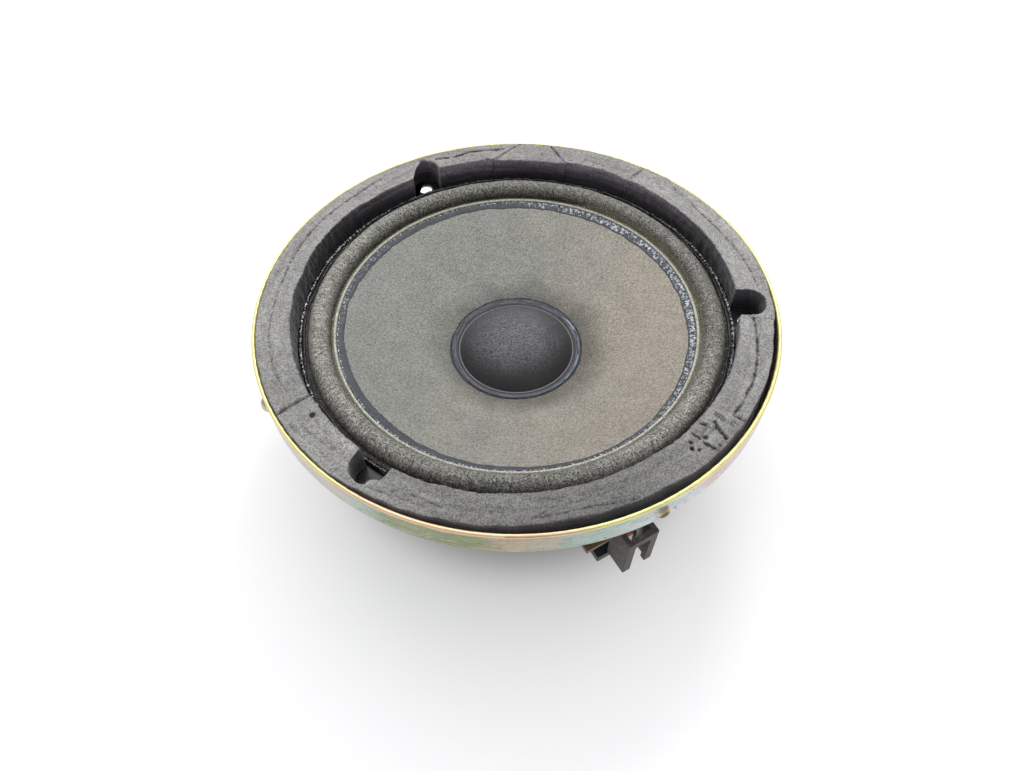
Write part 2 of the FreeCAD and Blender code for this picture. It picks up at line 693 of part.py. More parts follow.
def terminal_rivets():
    rivets = []
    for u, v in BOARD_RIVETS:
        low = TAB_TOP - SHEET
        high = TAB_TOP + BOARD_THICKNESS
        shank = Part.makeCylinder(BOARD_RIVET_SHANK, high - low, Vector(u, v, low))
        lower_seat = Vector(u, v, low - BOARD_RIVET_HEAD_HEIGHT)
        lower = Part.makeCylinder(BOARD_RIVET_HEAD, BOARD_RIVET_HEAD_HEIGHT, lower_seat)
        upper = Part.makeCylinder(BOARD_RIVET_HEAD, BOARD_RIVET_HEAD_HEIGHT, Vector(u, v, high))
        rivets.append(shank.fuse(lower).fuse(upper).removeSplitter())
    return on_terminal(Part.makeCompound(rivets))


def connector_shroud():
    """The brown-black housing: open at its top, back and bottom, with a slot in the front for a latch."""
    body = block(SHROUD_INNER, SHROUD_OUTER, SHROUD_LEFT, SHROUD_RIGHT, SHROUD_BOTTOM, SHROUD_TOP)
    upright = [edge for edge in body.Edges
               if edge.BoundBox.ZLength > 1 and edge.BoundBox.XMin > SHROUD_INNER + 1]
    body = body.makeFillet(SHROUD_ROUND, upright)
    cavity = block(SHROUD_INNER - 1, SHROUD_OUTER - SHROUD_FRONT, SHROUD_LEFT + SHROUD_WALL,
                   SHROUD_RIGHT - SHROUD_WALL, SHROUD_BOTTOM - 1, SHROUD_TOP + 1)
    slot = block(SHROUD_OUTER - 4, SHROUD_OUTER + 1, SHROUD_LEFT + SLOT_MARGIN, SHROUD_RIGHT - SLOT_MARGIN,
                 SHROUD_BOTTOM - 1, SLOT_TOP)
    slot_top = [edge for edge in slot.Edges
                if edge.BoundBox.XLength > 1 and edge.BoundBox.ZMin > SLOT_TOP - 1]
    slot = slot.makeFillet(SLOT_ROUND, slot_top)
    body = body.cut(cavity).cut(slot)
    foot = TAB_TOP + BOARD_THICKNESS
    ear_left = block(EAR_INNER, SHROUD_INNER, SHROUD_LEFT, SHROUD_LEFT + SHROUD_WALL, foot, foot + EAR_HEIGHT)
    ear_right = block(EAR_INNER, SHROUD_INNER, SHROUD_RIGHT - SHROUD_WALL, SHROUD_RIGHT, foot, foot + EAR_HEIGHT)
    return on_terminal(body.fuse(ear_left).fuse(ear_right).removeSplitter())


def terminal_block():
    """The moulded block under the tab, with a foot that backs the shroud's legs."""
    inner = BOARD_INNER + BLOCK_INSET
    upright = block(inner, BLOCK_FRONT, BLOCK_LEFT, BLOCK_RIGHT, BLOCK_BOTTOM, TAB_TOP - SHEET)
    foot = block(inner, FOOT_FRONT, BLOCK_LEFT, BLOCK_RIGHT, BLOCK_BOTTOM, SHROUD_BOTTOM)
    body = upright.fuse(foot).removeSplitter()
    front = [edge for edge in body.Edges
             if edge.BoundBox.XMin > FOOT_FRONT - 0.1 and edge.BoundBox.YLength < 0.1]
    return on_terminal(body.makeFillet(BLOCK_ROUND, front))


def blade(v):
    """A tinned blade: flat on the board, then bent down into the shroud."""
    foot = TAB_TOP + BOARD_THICKNESS
    low = v - BLADE_WIDTH / 2
    high = v + BLADE_WIDTH / 2
    flat = block(BLADE_INNER, BLADE_DROP, low, high, foot, foot + BLADE_THICKNESS)
    drop = block(BLADE_DROP - BLADE_THICKNESS, BLADE_DROP, low, high, BLADE_TIP, foot + BLADE_THICKNESS)
    body = flat.fuse(drop).removeSplitter()
    tip = [edge for edge in body.Edges
           if edge.BoundBox.ZMax < BLADE_TIP + 0.1 and edge.BoundBox.XLength < 0.1]
    bent = [edge for edge in body.Edges
            if edge.BoundBox.XMin > BLADE_DROP - 0.1 and edge.BoundBox.ZMin > foot + 0.7]
    return on_terminal(body.makeChamfer(BLADE_TIP_CHAMFER, tip).makeFillet(BLADE_BEND_ROUND, bent[:1]))


def solder_joints():
    """A mound of solder on each blade's inner end."""
    foot = TAB_TOP + BOARD_THICKNESS + BLADE_THICKNESS
    mounds = [Part.makeCone(SOLDER_FOOT, SOLDER_TOP, SOLDER_HEIGHT, Vector(BLADE_INNER + SOLDER_INSET, v, foot))
              for v in BLADE_V.values()]
    return on_terminal(Part.makeCompound(mounds))


def positive_sleeve():
    """The red marker sleeve on the positive blade."""
    v = BLADE_V["positive"]
    foot = TAB_TOP + BOARD_THICKNESS + BLADE_THICKNESS
    body = block(*SLEEVE_REACH, v - SLEEVE_HALF_WIDTH, v + SLEEVE_HALF_WIDTH, foot, foot + SLEEVE_HEIGHT)
    top = [edge for edge in body.Edges if edge.BoundBox.ZMin > foot + SLEEVE_HEIGHT / 2]
    return on_terminal(body.makeFillet(SLEEVE_ROUND, top))


def lead_path(v):
    """The lead's corner points in the terminal's frame, from the cone's pad to the solder joint."""
    side = 1 if v > BLADE_MIDDLE else -1
    pad_angle = math.radians(lead_angle(v))
    pad = Vector(PAD_RADIUS * math.cos(pad_angle), PAD_RADIUS * math.sin(pad_angle),
                 cone_face_height(PAD_RADIUS) - CONE_SHEET)
    reach, aside, spread, height = LEAD_FIRST_CORNER
    points = [pad + Vector(LEAD_START[0], 0, LEAD_START[1]),
              Vector(reach, pad.y + aside + spread * side, height)]
    for reach, aside, spread, height in LEAD_CORNERS:
        points.append(Vector(reach, v + aside + spread * side, height))
    points.append(Vector(BLADE_INNER + LEAD_END[0], v, LEAD_END[1]))
    return points


def rounded_path(points):
    """Straight runs joined by tangent arcs, each as large as its two runs allow."""
    stops = [points[0]]
    arcs = []
    for before, corner, after in zip(points, points[1:], points[2:]):
        shorter = min((corner - before).Length, (after - corner).Length)
        turn = (corner - before).getAngle(after - corner)
        radius = LEAD_ARC_SHARE * shorter / math.tan(turn / 2)
        start, end, centre = bend_data(before, corner, after, radius)
        middle = centre + (corner - centre).normalize() * radius
        arcs.append(arc_through(start, middle, end))
        stops += [start, end]
        print("lead bend radius %.1f mm, turn %.0f degrees" % (radius, math.degrees(turn)))
    stops.append(points[-1])
    edges = []
    for index in range(len(points) - 1):
        edges.append(Part.LineSegment(stops[2 * index], stops[2 * index + 1]).toShape())
        if index < len(arcs):
            edges.append(arcs[index])
    return Part.Wire(edges)


def tinsel_lead(v):
    points = lead_path(v)
    path = rounded_path(points)
    circle = Part.makeCircle(LEAD_RADIUS, points[0], points[1] - points[0])
    tube = path.makePipeShell([Part.Wire(circle)], True, True)
    expected = math.pi * LEAD_RADIUS ** 2 * path.Length
    print("lead length %.1f mm, volume %.1f of %.1f mm3" % (path.Length, tube.Volume, expected))
    return on_terminal(tube)


# ---------------------------------------------------------------- all nodes

def all_nodes():
    nodes = {"basket": basket()}
    nodes.update(gasket_strips())
    nodes.update({
        "surround": surround(),
        "surround_adhesive_ring": surround_adhesive(),
        "cone": cone(),
        "cone_edge_adhesive": cone_edge_adhesive(),
        "dust_cap": dust_cap(),
        "dust_cap_adhesive": dust_cap_adhesive(),
        "cone_neck_adhesive": neck_adhesive(),
        "voice_coil_former": voice_coil_former(),
        "voice_coil_winding": voice_coil_winding(),
        "coil_leadout_wires": coil_leadout_wires(),
        "lead_pads": lead_pads(),
        "spider": spider(),
        "top_plate": top_plate(),
        "magnet_ring": magnet_ring(),
        "magnet_adhesive": magnet_adhesive(),
        "back_plate": back_plate(),
        "pole_piece": pole_piece(),
        "vent_mesh": vent_mesh(),
        "basket_rivets": basket_rivets(),
        "terminal_board": terminal_board(),
        "terminal_rivets": terminal_rivets(),
        "connector_shroud": connector_shroud(),
        "terminal_block": terminal_block(),
        "solder_joints": solder_joints(),
        "positive_sleeve": positive_sleeve(),
    })
    for name, v in BLADE_V.items():
        nodes["blade_" + name] = blade(v)
        nodes["tinsel_lead_" + name] = tinsel_lead(v)
    return nodes


os.makedirs(PARTS_FOLDER, exist_ok=True)
for node_name, node_shape in all_nodes().items():
    solids = node_shape.Solids
    whole = solids[0] if len(solids) == 1 else Part.makeCompound(solids)
    print("%-24s %d solid(s), valid %s, %.1f mm3" % (node_name, len(solids), whole.isValid(), whole.Volume))
    whole.exportStep(os.path.join(PARTS_FOLDER, node_name + ".step"))
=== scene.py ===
import math
from functools import reduce

import bpy
import numpy as np
from mathutils import Matrix, Vector


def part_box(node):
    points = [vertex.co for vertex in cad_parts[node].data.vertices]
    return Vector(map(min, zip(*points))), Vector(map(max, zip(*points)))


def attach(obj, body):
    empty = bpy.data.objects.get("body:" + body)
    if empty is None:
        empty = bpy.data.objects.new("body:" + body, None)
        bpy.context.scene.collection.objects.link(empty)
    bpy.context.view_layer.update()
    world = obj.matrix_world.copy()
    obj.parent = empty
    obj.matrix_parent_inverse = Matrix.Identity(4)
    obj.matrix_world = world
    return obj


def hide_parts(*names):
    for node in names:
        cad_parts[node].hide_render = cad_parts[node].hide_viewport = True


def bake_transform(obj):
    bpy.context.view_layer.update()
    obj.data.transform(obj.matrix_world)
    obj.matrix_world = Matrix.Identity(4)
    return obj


# A 165 mm class car door loudspeaker lying face up. Lengths named here are millimetres, angles are degrees
# counted from +X about the cone's axis, and meshes are written in metres.

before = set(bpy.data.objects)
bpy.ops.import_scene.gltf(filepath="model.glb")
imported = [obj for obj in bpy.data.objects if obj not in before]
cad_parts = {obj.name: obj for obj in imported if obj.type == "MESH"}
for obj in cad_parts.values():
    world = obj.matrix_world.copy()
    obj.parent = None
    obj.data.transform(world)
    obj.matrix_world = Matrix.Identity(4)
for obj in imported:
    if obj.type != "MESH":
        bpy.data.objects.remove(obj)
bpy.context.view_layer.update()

MM = 0.001
TURN = 360.0


# ---------------------------------------------------------------- sizes read from the frame

def top_of(node):
    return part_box(node)[1].z / MM


def bottom_of(node):
    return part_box(node)[0].z / MM


def reach_of(node):
    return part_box(node)[1].x / MM


LIP_TOP = top_of("basket")
SEAT_TOP = bottom_of("gasket_strip_front") - 0.05
FOAM_TOP = top_of("gasket_strip_front")
CONE_TOP = top_of("cone")
CONE_EDGE = reach_of("cone")
NECK_Z = bottom_of("cone") + 0.6
FLOOR_Z = bottom_of("back_plate")
HOLE_ANGLES = (0.0, 120.0, 240.0)

# Cone profile
NECK_RADIUS = 13.0
CONE_BEND = 57.3
CONE_SHEET = 0.6
CONE_SLOPE = (CONE_TOP - NECK_Z) / (CONE_BEND - NECK_RADIUS)

# Dust cap
CAP_RADIUS = 19.7
CAP_FLANGE = 22.4
CAP_HEIGHT = 6.7
CAP_SHEET = 0.5
CAP_BEND = ((-0.38, 0.70), (-0.2, 0.74), (0.0, 0.76), (0.16, 0.68))

# Surround
ROLL_RADIUS = 64.0
ROLL_BASE = 1.6
ROLL_WIDTH = 3.55
ROLL_HEIGHT = 4.35
ROLL_SHEET = 0.8
SURROUND_OUTER = 70.3
SURROUND_LIP = 58.8

# The bead of adhesive on the surround's rim, and the one along the surround's lip
BEAD_RADIUS = 69.7
EDGE_BEAD_RADIUS = 58.45

# A dimple punched in the basket's wall; its shading is painted round this point
DIMPLE = (42.0, -72.7, 5.4)

# Camera
CAMERA_OFFSET = (6.7, -159.1, 165.1)     # from the middle of the lip's top
CAMERA_TILT = 53.15                       # below level
CAMERA_ROLL = -0.75
CAMERA_TURN = 3.0
LENS = 25.03
SENSOR = 36.0


# ---------------------------------------------------------------- mesh helpers

def smooth_noise(points, wavelength, seed, waves=28):
    """Smooth noise of unit spread, made of plane waves in random directions."""
    rng = np.random.default_rng(seed)
    directions = rng.normal(size=(waves, 3))
    directions /= np.linalg.norm(directions, axis=1)[:, None]
    lengths = wavelength * rng.uniform(0.7, 1.5, waves)
    phases = rng.uniform(0, 2 * np.pi, waves)
    total = np.zeros(points.shape[:-1])
    for direction, length, phase in zip(directions, lengths, phases):
        total += np.cos(points @ direction * (2 * np.pi / length) + phase)
    return total * math.sqrt(2 / waves)


def layered_noise(points, seed, *layers):
    """Layers of smooth noise, each an amount and a wavelength, with seeds that follow each other."""
    return sum(amount * smooth_noise(points, size, seed + k) for k, (amount, size) in enumerate(layers))


def polar(radius, angle, height):
    """Points in millimetres from arrays of radius, angle in degrees and height."""
    turn = np.radians(angle)
    radius, turn, height = np.broadcast_arrays(radius, turn, height)
    return np.stack([radius * np.cos(turn), radius * np.sin(turn), height], -1)


def spun(x, y, angle):
    """X and Y turned about the axis."""
    c, s = math.cos(math.radians(angle)), math.sin(math.radians(angle))
    return x * c - y * s, x * s + y * c


def eased(share):
    """A share of 0 to 1 with a soft start and end."""
    share = np.clip(share, 0, 1)
    return share * share * (3 - 2 * share)


def interpolate(places, keys, values):
    """A value that changes smoothly from each key to the next."""
    index = np.clip(np.searchsorted(keys, places, side="right") - 1, 0, len(keys) - 2)
    share = eased((places - keys[index]) / (keys[index + 1] - keys[index]))
    return values[index] * (1 - share) + values[index + 1] * share


def round_interpolate(angle, table):
    """A value that changes smoothly round the ring, from (angle, value) pairs in rising order."""
    keys, values = np.array(table, float).T
    keys = np.concatenate([keys - TURN, keys, keys + TURN])
    return interpolate(np.asarray(angle, float) % TURN, keys, np.tile(values, 3))


def new_object(name, data):
    piece = bpy.data.objects.new(name, data)
    bpy.context.scene.collection.objects.link(piece)
    return piece


def mesh_object(name, vertices, faces, material, attributes=None):
    """A smooth mesh from vertices in millimetres, with optional numbers at the vertices for its material."""
    mesh = bpy.data.meshes.new(name)
    mesh.from_pydata((np.asarray(vertices) * MM).tolist(), [], faces)
    mesh.validate()
    for key, values in (attributes or {}).items():
        layer = mesh.attributes.new(key, "FLOAT", "POINT")
        layer.data.foreach_set("value", np.asarray(values, np.float32).ravel())
    mesh.shade_smooth()
    mesh.update()
    mesh.materials.append(material)
    return new_object(name, mesh)


def grid_object(name, points, material, wrap_along=False, wrap_across=False, caps=False, attributes=None):
    """A mesh of quads from a grid of points in millimetres, with optional end caps."""
    index = np.arange(points.shape[0] * points.shape[1]).reshape(points.shape[:2])
    first = index if wrap_along else index[:-1]
    second = np.roll(index, -1, axis=0) if wrap_along else index[1:]
    if wrap_across:
        first_next, second_next = np.roll(first, -1, axis=1), np.roll(second, -1, axis=1)
    else:
        first_next, second_next = first[:, 1:], second[:, 1:]
        first, second = first[:, :-1], second[:, :-1]
    faces = np.stack([first, second, second_next, first_next], -1).reshape(-1, 4).tolist()
    if caps:
        faces += [index[0].tolist(), index[-1][::-1].tolist()]
    return mesh_object(name, points.reshape(-1, 3), faces, material, attributes)


def turned(outline, columns, shift=None):
    """Radius, height and angle of each point of an outline turned about the axis."""
    outline = np.array(outline, float)
    angles = np.linspace(0, TURN, columns, endpoint=False)
    radius, height, angle = np.broadcast_arrays(outline[None, :, 0], outline[None, :, 1], angles[:, None])
    if shift is not None:
        radius, height = shift(radius, height, angle)
    return radius, height, angle


def turned_ring(name, outline, material, columns, shift=None, tables=None):
    """A closed ring from an outline of (radius, height) rows. Each table gives a number round the ring."""
    radius, height, angle = turned(outline, columns, shift)
    attributes = {key: round_interpolate(angle, table)[:, ::-1] for key, table in (tables or {}).items()}
    points = polar(radius, angle, height)[:, ::-1]
    return grid_object(name, points, material, wrap_along=True, wrap_across=True, attributes=attributes)


def arc_rows(centre, width, height, start, end, count):
    """Outline rows on an ellipse, angles counted from outward towards up."""
    turns = np.radians(np.linspace(start, end, count))
    return [(centre[0] + width * math.cos(t), centre[1] + height * math.sin(t)) for t in turns]


def line_rows(start, end, count):
    return [(start[0] + (end[0] - start[0]) * k / count, start[1] + (end[1] - start[1]) * k / count)
            for k in range(count)]


def cone_height(radius):
    return NECK_Z + (np.asarray(radius, float) - NECK_RADIUS) * CONE_SLOPE


def stand_for(piece, body, slot, *nodes):
    """The piece rides on a body and stands for CAD nodes, which it hides. The slot is not used."""
    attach(piece, body)
    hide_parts(*nodes)


# ---------------------------------------------------------------- materials

class Paint:
    """Builds one procedural material. Each method adds nodes and returns their output."""

    def __init__(self, name):
        self.material = bpy.data.materials.new(name)
        self.material.use_nodes = True
        self.nodes = self.material.node_tree.nodes
        self.links = self.material.node_tree.links
        self.place = self.scaled(self.nodes.new("ShaderNodeTexCoord").outputs["Object"], (1 / MM,) * 3)
        self.x, self.y, self.height = self.add("ShaderNodeSeparateXYZ", Vector=self.place).outputs
        self.radius = self.distance(0.0, 0.0)

    def add(self, kind, **inputs):
        return self.fill(self.nodes.new(kind), inputs)

    def fill(self, node, inputs):
        for key, value in inputs.items():
            self.feed(node.inputs[key.replace("_", " ")], value)
        return node

    def feed(self, socket, value):
        if isinstance(value, bpy.types.NodeSocket):
            self.links.new(value, socket)
        elif value is not None:
            socket.default_value = (*value, 1.0) if socket.type == "RGBA" else value

    def maths(self, operation, *values, kind="ShaderNodeMath"):
        node = self.nodes.new(kind)
        node.operation = operation
        for socket, value in zip(node.inputs, values):
            self.feed(socket, value)
        return node.outputs[0]

    def scaled(self, vector, factors):
        return self.maths("MULTIPLY", vector, factors, kind="ShaderNodeVectorMath")

    def product(self, *values):
        return reduce(lambda one, other: self.maths("MULTIPLY", one, other), values)

    def total(self, *values):
        return reduce(lambda one, other: self.maths("ADD", one, other), values)

    def across(self, per_x, per_y):
        """A value that rises with X and Y."""
        return self.total(self.product(self.x, per_x), self.product(self.y, per_y))

    def distance(self, *centre):
        """How far a point is from a centre that is given by X and Y, or by X, Y and Z."""
        parts = (self.x, self.y, self.height)
        gaps = [self.maths("SUBTRACT", part, middle) for part, middle in zip(parts, centre)]
        return self.maths("SQRT", self.total(*[self.product(gap, gap) for gap in gaps]))

    def round_place(self, rim):
        """Coordinates of radius, length along a rim of that radius, and height."""
        angle = self.maths("ARCTAN2", self.y, self.x)
        return self.add("ShaderNodeCombineXYZ", X=self.radius, Y=self.product(angle, rim),
                        Z=self.height).outputs[0]

    def noise(self, size, detail=3.0, roughness=0.55, distortion=0.0, rim=None, stretch=None):
        """Noise whose largest features are about size millimetres across, and which can follow a rim."""
        place = self.round_place(rim) if rim else self.place
        place = self.scaled(place, stretch) if stretch else place
        return self.add("ShaderNodeTexNoise", Vector=place, Scale=1.0 / size, Detail=detail,
                        Roughness=roughness, Distortion=distortion).outputs["Fac"]

    def cells(self, size):
        return self.add("ShaderNodeTexVoronoi", Vector=self.place, Scale=1.0 / size).outputs["Distance"]

    def attribute(self, name):
        node = self.nodes.new("ShaderNodeAttribute")
        node.attribute_name = name
        return node.outputs["Fac"]

    def ramp(self, value, low, high, start=0.0, end=1.0):
        """value mapped smoothly from low..high to start..end."""
        node = self.nodes.new("ShaderNodeMapRange")
        node.interpolation_type = "SMOOTHSTEP"
        for socket, item in zip(node.inputs, (value, low, high, start, end)):
            self.feed(socket, item)
        return node.outputs[0]

    def vary(self, noise, start, end):
        """The middle of a noise's spread mapped to start..end."""
        return self.ramp(noise, 0.3, 0.7, start, end)

    def harden(self, noise, start, end):
        """The same with more contrast."""
        return self.ramp(noise, 0.34, 0.66, start, end)

    def band(self, value, start, risen, falling, end):
        """One between risen and falling, and nothing before start and after end."""
        return self.product(self.ramp(value, start, risen), self.ramp(value, end, falling))

    def weave(self, pitch, turn, balance):
        """Two crossing sets of threads, the first one standing out by balance."""
        c, s = math.cos(math.radians(turn)), math.sin(math.radians(turn))
        waves = [self.maths("SINE", self.product(self.across(*slope), 2 * math.pi / pitch))
                 for slope in ((c, s), (-s, c))]
        mixed = self.total(self.product(waves[0], balance), self.product(waves[1], 1 - balance))
        return self.maths("MULTIPLY_ADD", mixed, 0.5, 0.5)

    def colours(self, factor, first, second):
        node = self.nodes.new("ShaderNodeMix")
        node.data_type = "RGBA"
        for socket, value in ((node.inputs[0], factor), (node.inputs[6], first), (node.inputs[7], second)):
            self.feed(socket, value)
        return node.outputs[2]

    def shaded(self, colour, *factors):
        """A colour times each brightness."""
        for factor in factors:
            node = self.nodes.new("ShaderNodeVectorMath")
            node.operation = "SCALE"
            self.feed(node.inputs[0], colour)
            self.feed(node.inputs["Scale"], factor)
            colour = node.outputs[0]
        return colour

    def bumps(self, *layers):
        """Bumps on one another. Each layer is a pattern, its full height in millimetres and its strength."""
        normal = None
        for height, distance, strength in layers:
            normal = self.add("ShaderNodeBump", Height=height, Distance=distance * MM, Strength=strength,
                              Normal=normal).outputs[0]
        return normal

    def finish(self, colour, roughness, normal, **others):
        self.fill(self.nodes["Principled BSDF"],
                  {"Base Color": colour, "Roughness": roughness, "Normal": normal, **others})
        return self.material


def gasket_foam():
    paint = Paint("gasket_foam")
    grain = paint.noise(0.52, 3, 0.75)
    patch = paint.noise(2.6, 4, 0.65)
    streak = paint.noise(3.2, 4, 0.65, rim=75.0, stretch=(1.0, 0.16, 1.0))
    bands = paint.noise(1.3, 3, 0.6, rim=70.0, stretch=(1.0, 0.05, 1.0))
    top = paint.colours(paint.noise(14, 4, 0.6), (0.288, 0.283, 0.275), (0.228, 0.225, 0.221))
    # The last factor is painted light and shade round the ring: darker at the front, lighter at the back and
    # sides.
    top = paint.shaded(top, paint.harden(grain, 0.58, 1.42), paint.vary(streak, 0.84, 1.14),
                       paint.vary(patch, 0.90, 1.10), paint.attribute("painted_light_and_shade"))
    # The wall darkens towards its foot as painted shade, and its X and Y ramps paint it darker on the left
    # and lighter at the back, as painted light and shade.
    wall = paint.shaded((0.036, 0.033, 0.039), paint.ramp(paint.height, SEAT_TOP + 2.5, FOAM_TOP, 0.40, 3.2),
                        paint.vary(bands, 0.7, 1.35), paint.vary(grain, 0.6, 1.5),
                        paint.ramp(paint.x, -70.0, -30.0, 0.45, 1.0),
                        paint.ramp(paint.y, 25.0, 62.0, 1.0, 1.9))
    colour = paint.colours(paint.attribute("skin"), wall, top)
    # Painted shade in the creases.
    colour = paint.shaded(colour, paint.ramp(paint.attribute("painted_crease_shade"), 0.0, 1.0, 1.0, 0.22))
    normal = paint.bumps((patch, 0.25, 0.5), (grain, 0.22, 0.8), (paint.cells(0.5), 0.10, 0.6))
    return paint.finish(colour, 0.95, normal, Specular_IOR_Level=0.15,
                        Sheen_Weight=0.35, Sheen_Roughness=0.4)


def surround_foam():
    paint = Paint("surround_foam")
    radius, height = paint.radius, paint.height
    speck = paint.noise(0.5, 3, 0.8)
    painted_sparkle = paint.noise(0.62, 2, 0.9)
    grain = paint.noise(1.4, 4, 0.65)
    ribs = paint.noise(0.8, 3, 0.7, rim=ROLL_RADIUS, stretch=(0.3, 1.0, 0.3))
    crown = paint.colours(paint.noise(20), (0.232, 0.220, 0.198), (0.206, 0.206, 0.186))
    # Painted shade: the roll darkens towards its foot and in the groove beside it.
    rise = paint.ramp(paint.total(height, paint.product(grain, 1.6)), 1.9, 6.7)
    colour = paint.colours(rise, (0.020, 0.015, 0.011), crown)
    # The last factor is painted light and shade round the ring.
    colour = paint.shaded(colour, paint.harden(speck, 0.15, 1.85), paint.harden(ribs, 0.66, 1.32),
                          paint.attribute("painted_light_and_shade"))
    # Painted highlights: pale sparkles on the roll, and on the olive lip below.
    colour = paint.colours(paint.ramp(painted_sparkle, 0.63, 0.71), colour, (0.66, 0.65, 0.60))
    pale_line = paint.band(radius, 58.75, 58.9, 59.3, 59.9)
    olive = paint.colours(pale_line, (0.165, 0.160, 0.115), (0.50, 0.50, 0.42))
    olive = paint.shaded(olive, paint.ramp(speck, 0.36, 0.64, 0.52, 1.45))
    olive = paint.colours(paint.ramp(painted_sparkle, 0.62, 0.70), olive, (0.75, 0.75, 0.70))
    lip_edge = paint.ramp(paint.x, 15.0, 45.0, 60.2, 61.2)
    lip = paint.ramp(radius, paint.total(lip_edge, 0.3), lip_edge)
    colour = paint.colours(paint.product(lip, paint.ramp(height, 3.9, 3.1)), colour, olive)
    normal = paint.bumps((grain, 0.20, 0.5), (ribs, 0.15, 0.6), (speck, 0.16, 0.8))
    return paint.finish(colour, paint.ramp(speck, 0.3, 0.8, 0.85, 0.42), normal, Specular_IOR_Level=0.35,
                        Sheen_Weight=0.12, Sheen_Roughness=0.4)


def black_glue(name):
    """Black adhesive with a glossy finish, and pale flecks painted on its ridge as highlights where the
    mesh's attribute is high.
    """
    paint = Paint(name)
    film = paint.noise(6.0)
    painted_fleck = paint.noise(0.55, 2, 0.7, rim=70.0, stretch=(0.5, 1.0, 0.5))
    painted_fleck = paint.product(paint.ramp(painted_fleck, 0.52, 0.64), paint.attribute("wet_and_painted_glint"),
                          paint.band(paint.radius, 69.35, 69.6, 70.1, 70.35))
    colour = paint.colours(paint.ramp(film, 0.35, 0.7), (0.005, 0.005, 0.006), (0.012, 0.012, 0.014))
    colour = paint.colours(painted_fleck, colour, (0.85, 0.86, 0.89))
    normal = paint.bumps((paint.noise(1.0, 3, 0.6), 0.40, 0.6))
    return paint.finish(colour, paint.ramp(film, 0.3, 0.75, 0.08, 0.22), normal, Specular_IOR_Level=0.5)


def cone_glue():
    """Blue-grey adhesive: a dull film that turns glossy and streaky where it is thick; the pale streaky
    marks on it are painted highlights.
    """
    paint = Paint("cone_adhesive")
    wet_and_painted_glint = paint.attribute("wet_and_painted_glint")
    ridge = paint.noise(0.85, 3, 0.75, rim=58.0, stretch=(0.7, 1.0, 0.7))
    film = paint.ramp(paint.noise(5.0), 0.35, 0.7)
    dull = paint.colours(film, (0.046, 0.051, 0.062), (0.066, 0.071, 0.082))
    dull = paint.shaded(dull, paint.vary(paint.noise(0.5, 4, 0.7), 0.7, 1.4))
    painted_streaks = paint.colours(paint.ramp(ridge, 0.46, 0.63), (0.036, 0.043, 0.058), (0.66, 0.71, 0.78))
    colour = paint.colours(paint.ramp(wet_and_painted_glint, 0.1, 0.6), dull, painted_streaks)
    rough = paint.ramp(wet_and_painted_glint, 0.0, 0.7, 0.60, 0.14)
    return paint.finish(colour, rough, paint.bumps((ridge, 0.35, 0.6)), Specular_IOR_Level=0.45)


def cone_weave():
    paint = Paint("cone_weave")
    threads = paint.weave(0.64, -47.0, 0.72)
    grain = paint.noise(0.62, 3, 0.75)
    cloud = paint.noise(34, 4, 0.6, distortion=0.4)
    blotch = paint.noise(9, 4, 0.6)
    side = paint.total(paint.across(0.010, -0.003), paint.product(cloud, 1.1))
    colour = paint.colours(paint.ramp(side, 0.15, 1.05), (0.250, 0.256, 0.236), (0.322, 0.292, 0.250))
    halo = paint.total(paint.radius, paint.product(blotch, 7.0))
    away = paint.total(paint.distance(4.5, -1.5), paint.product(blotch, 5.0))
    # The Y ramp is painted light: the cone lighter at the back and darker at the front.
    colour = paint.shaded(colour, paint.vary(blotch, 0.94, 1.06), paint.ramp(halo, 25.0, 37.0, 0.68, 1.0),
                          paint.ramp(away, 23.0, 34.0, 0.70, 1.0),
                          paint.ramp(paint.y, -45.0, 45.0, 0.95, 1.15),
                          paint.ramp(threads, 0.1, 0.9, 0.80, 1.20), paint.harden(grain, 0.68, 1.34))
    normal = paint.bumps((threads, 0.05, 0.7), (grain, 0.08, 0.6))
    return paint.finish(colour, 0.75, normal, Specular_IOR_Level=0.2)


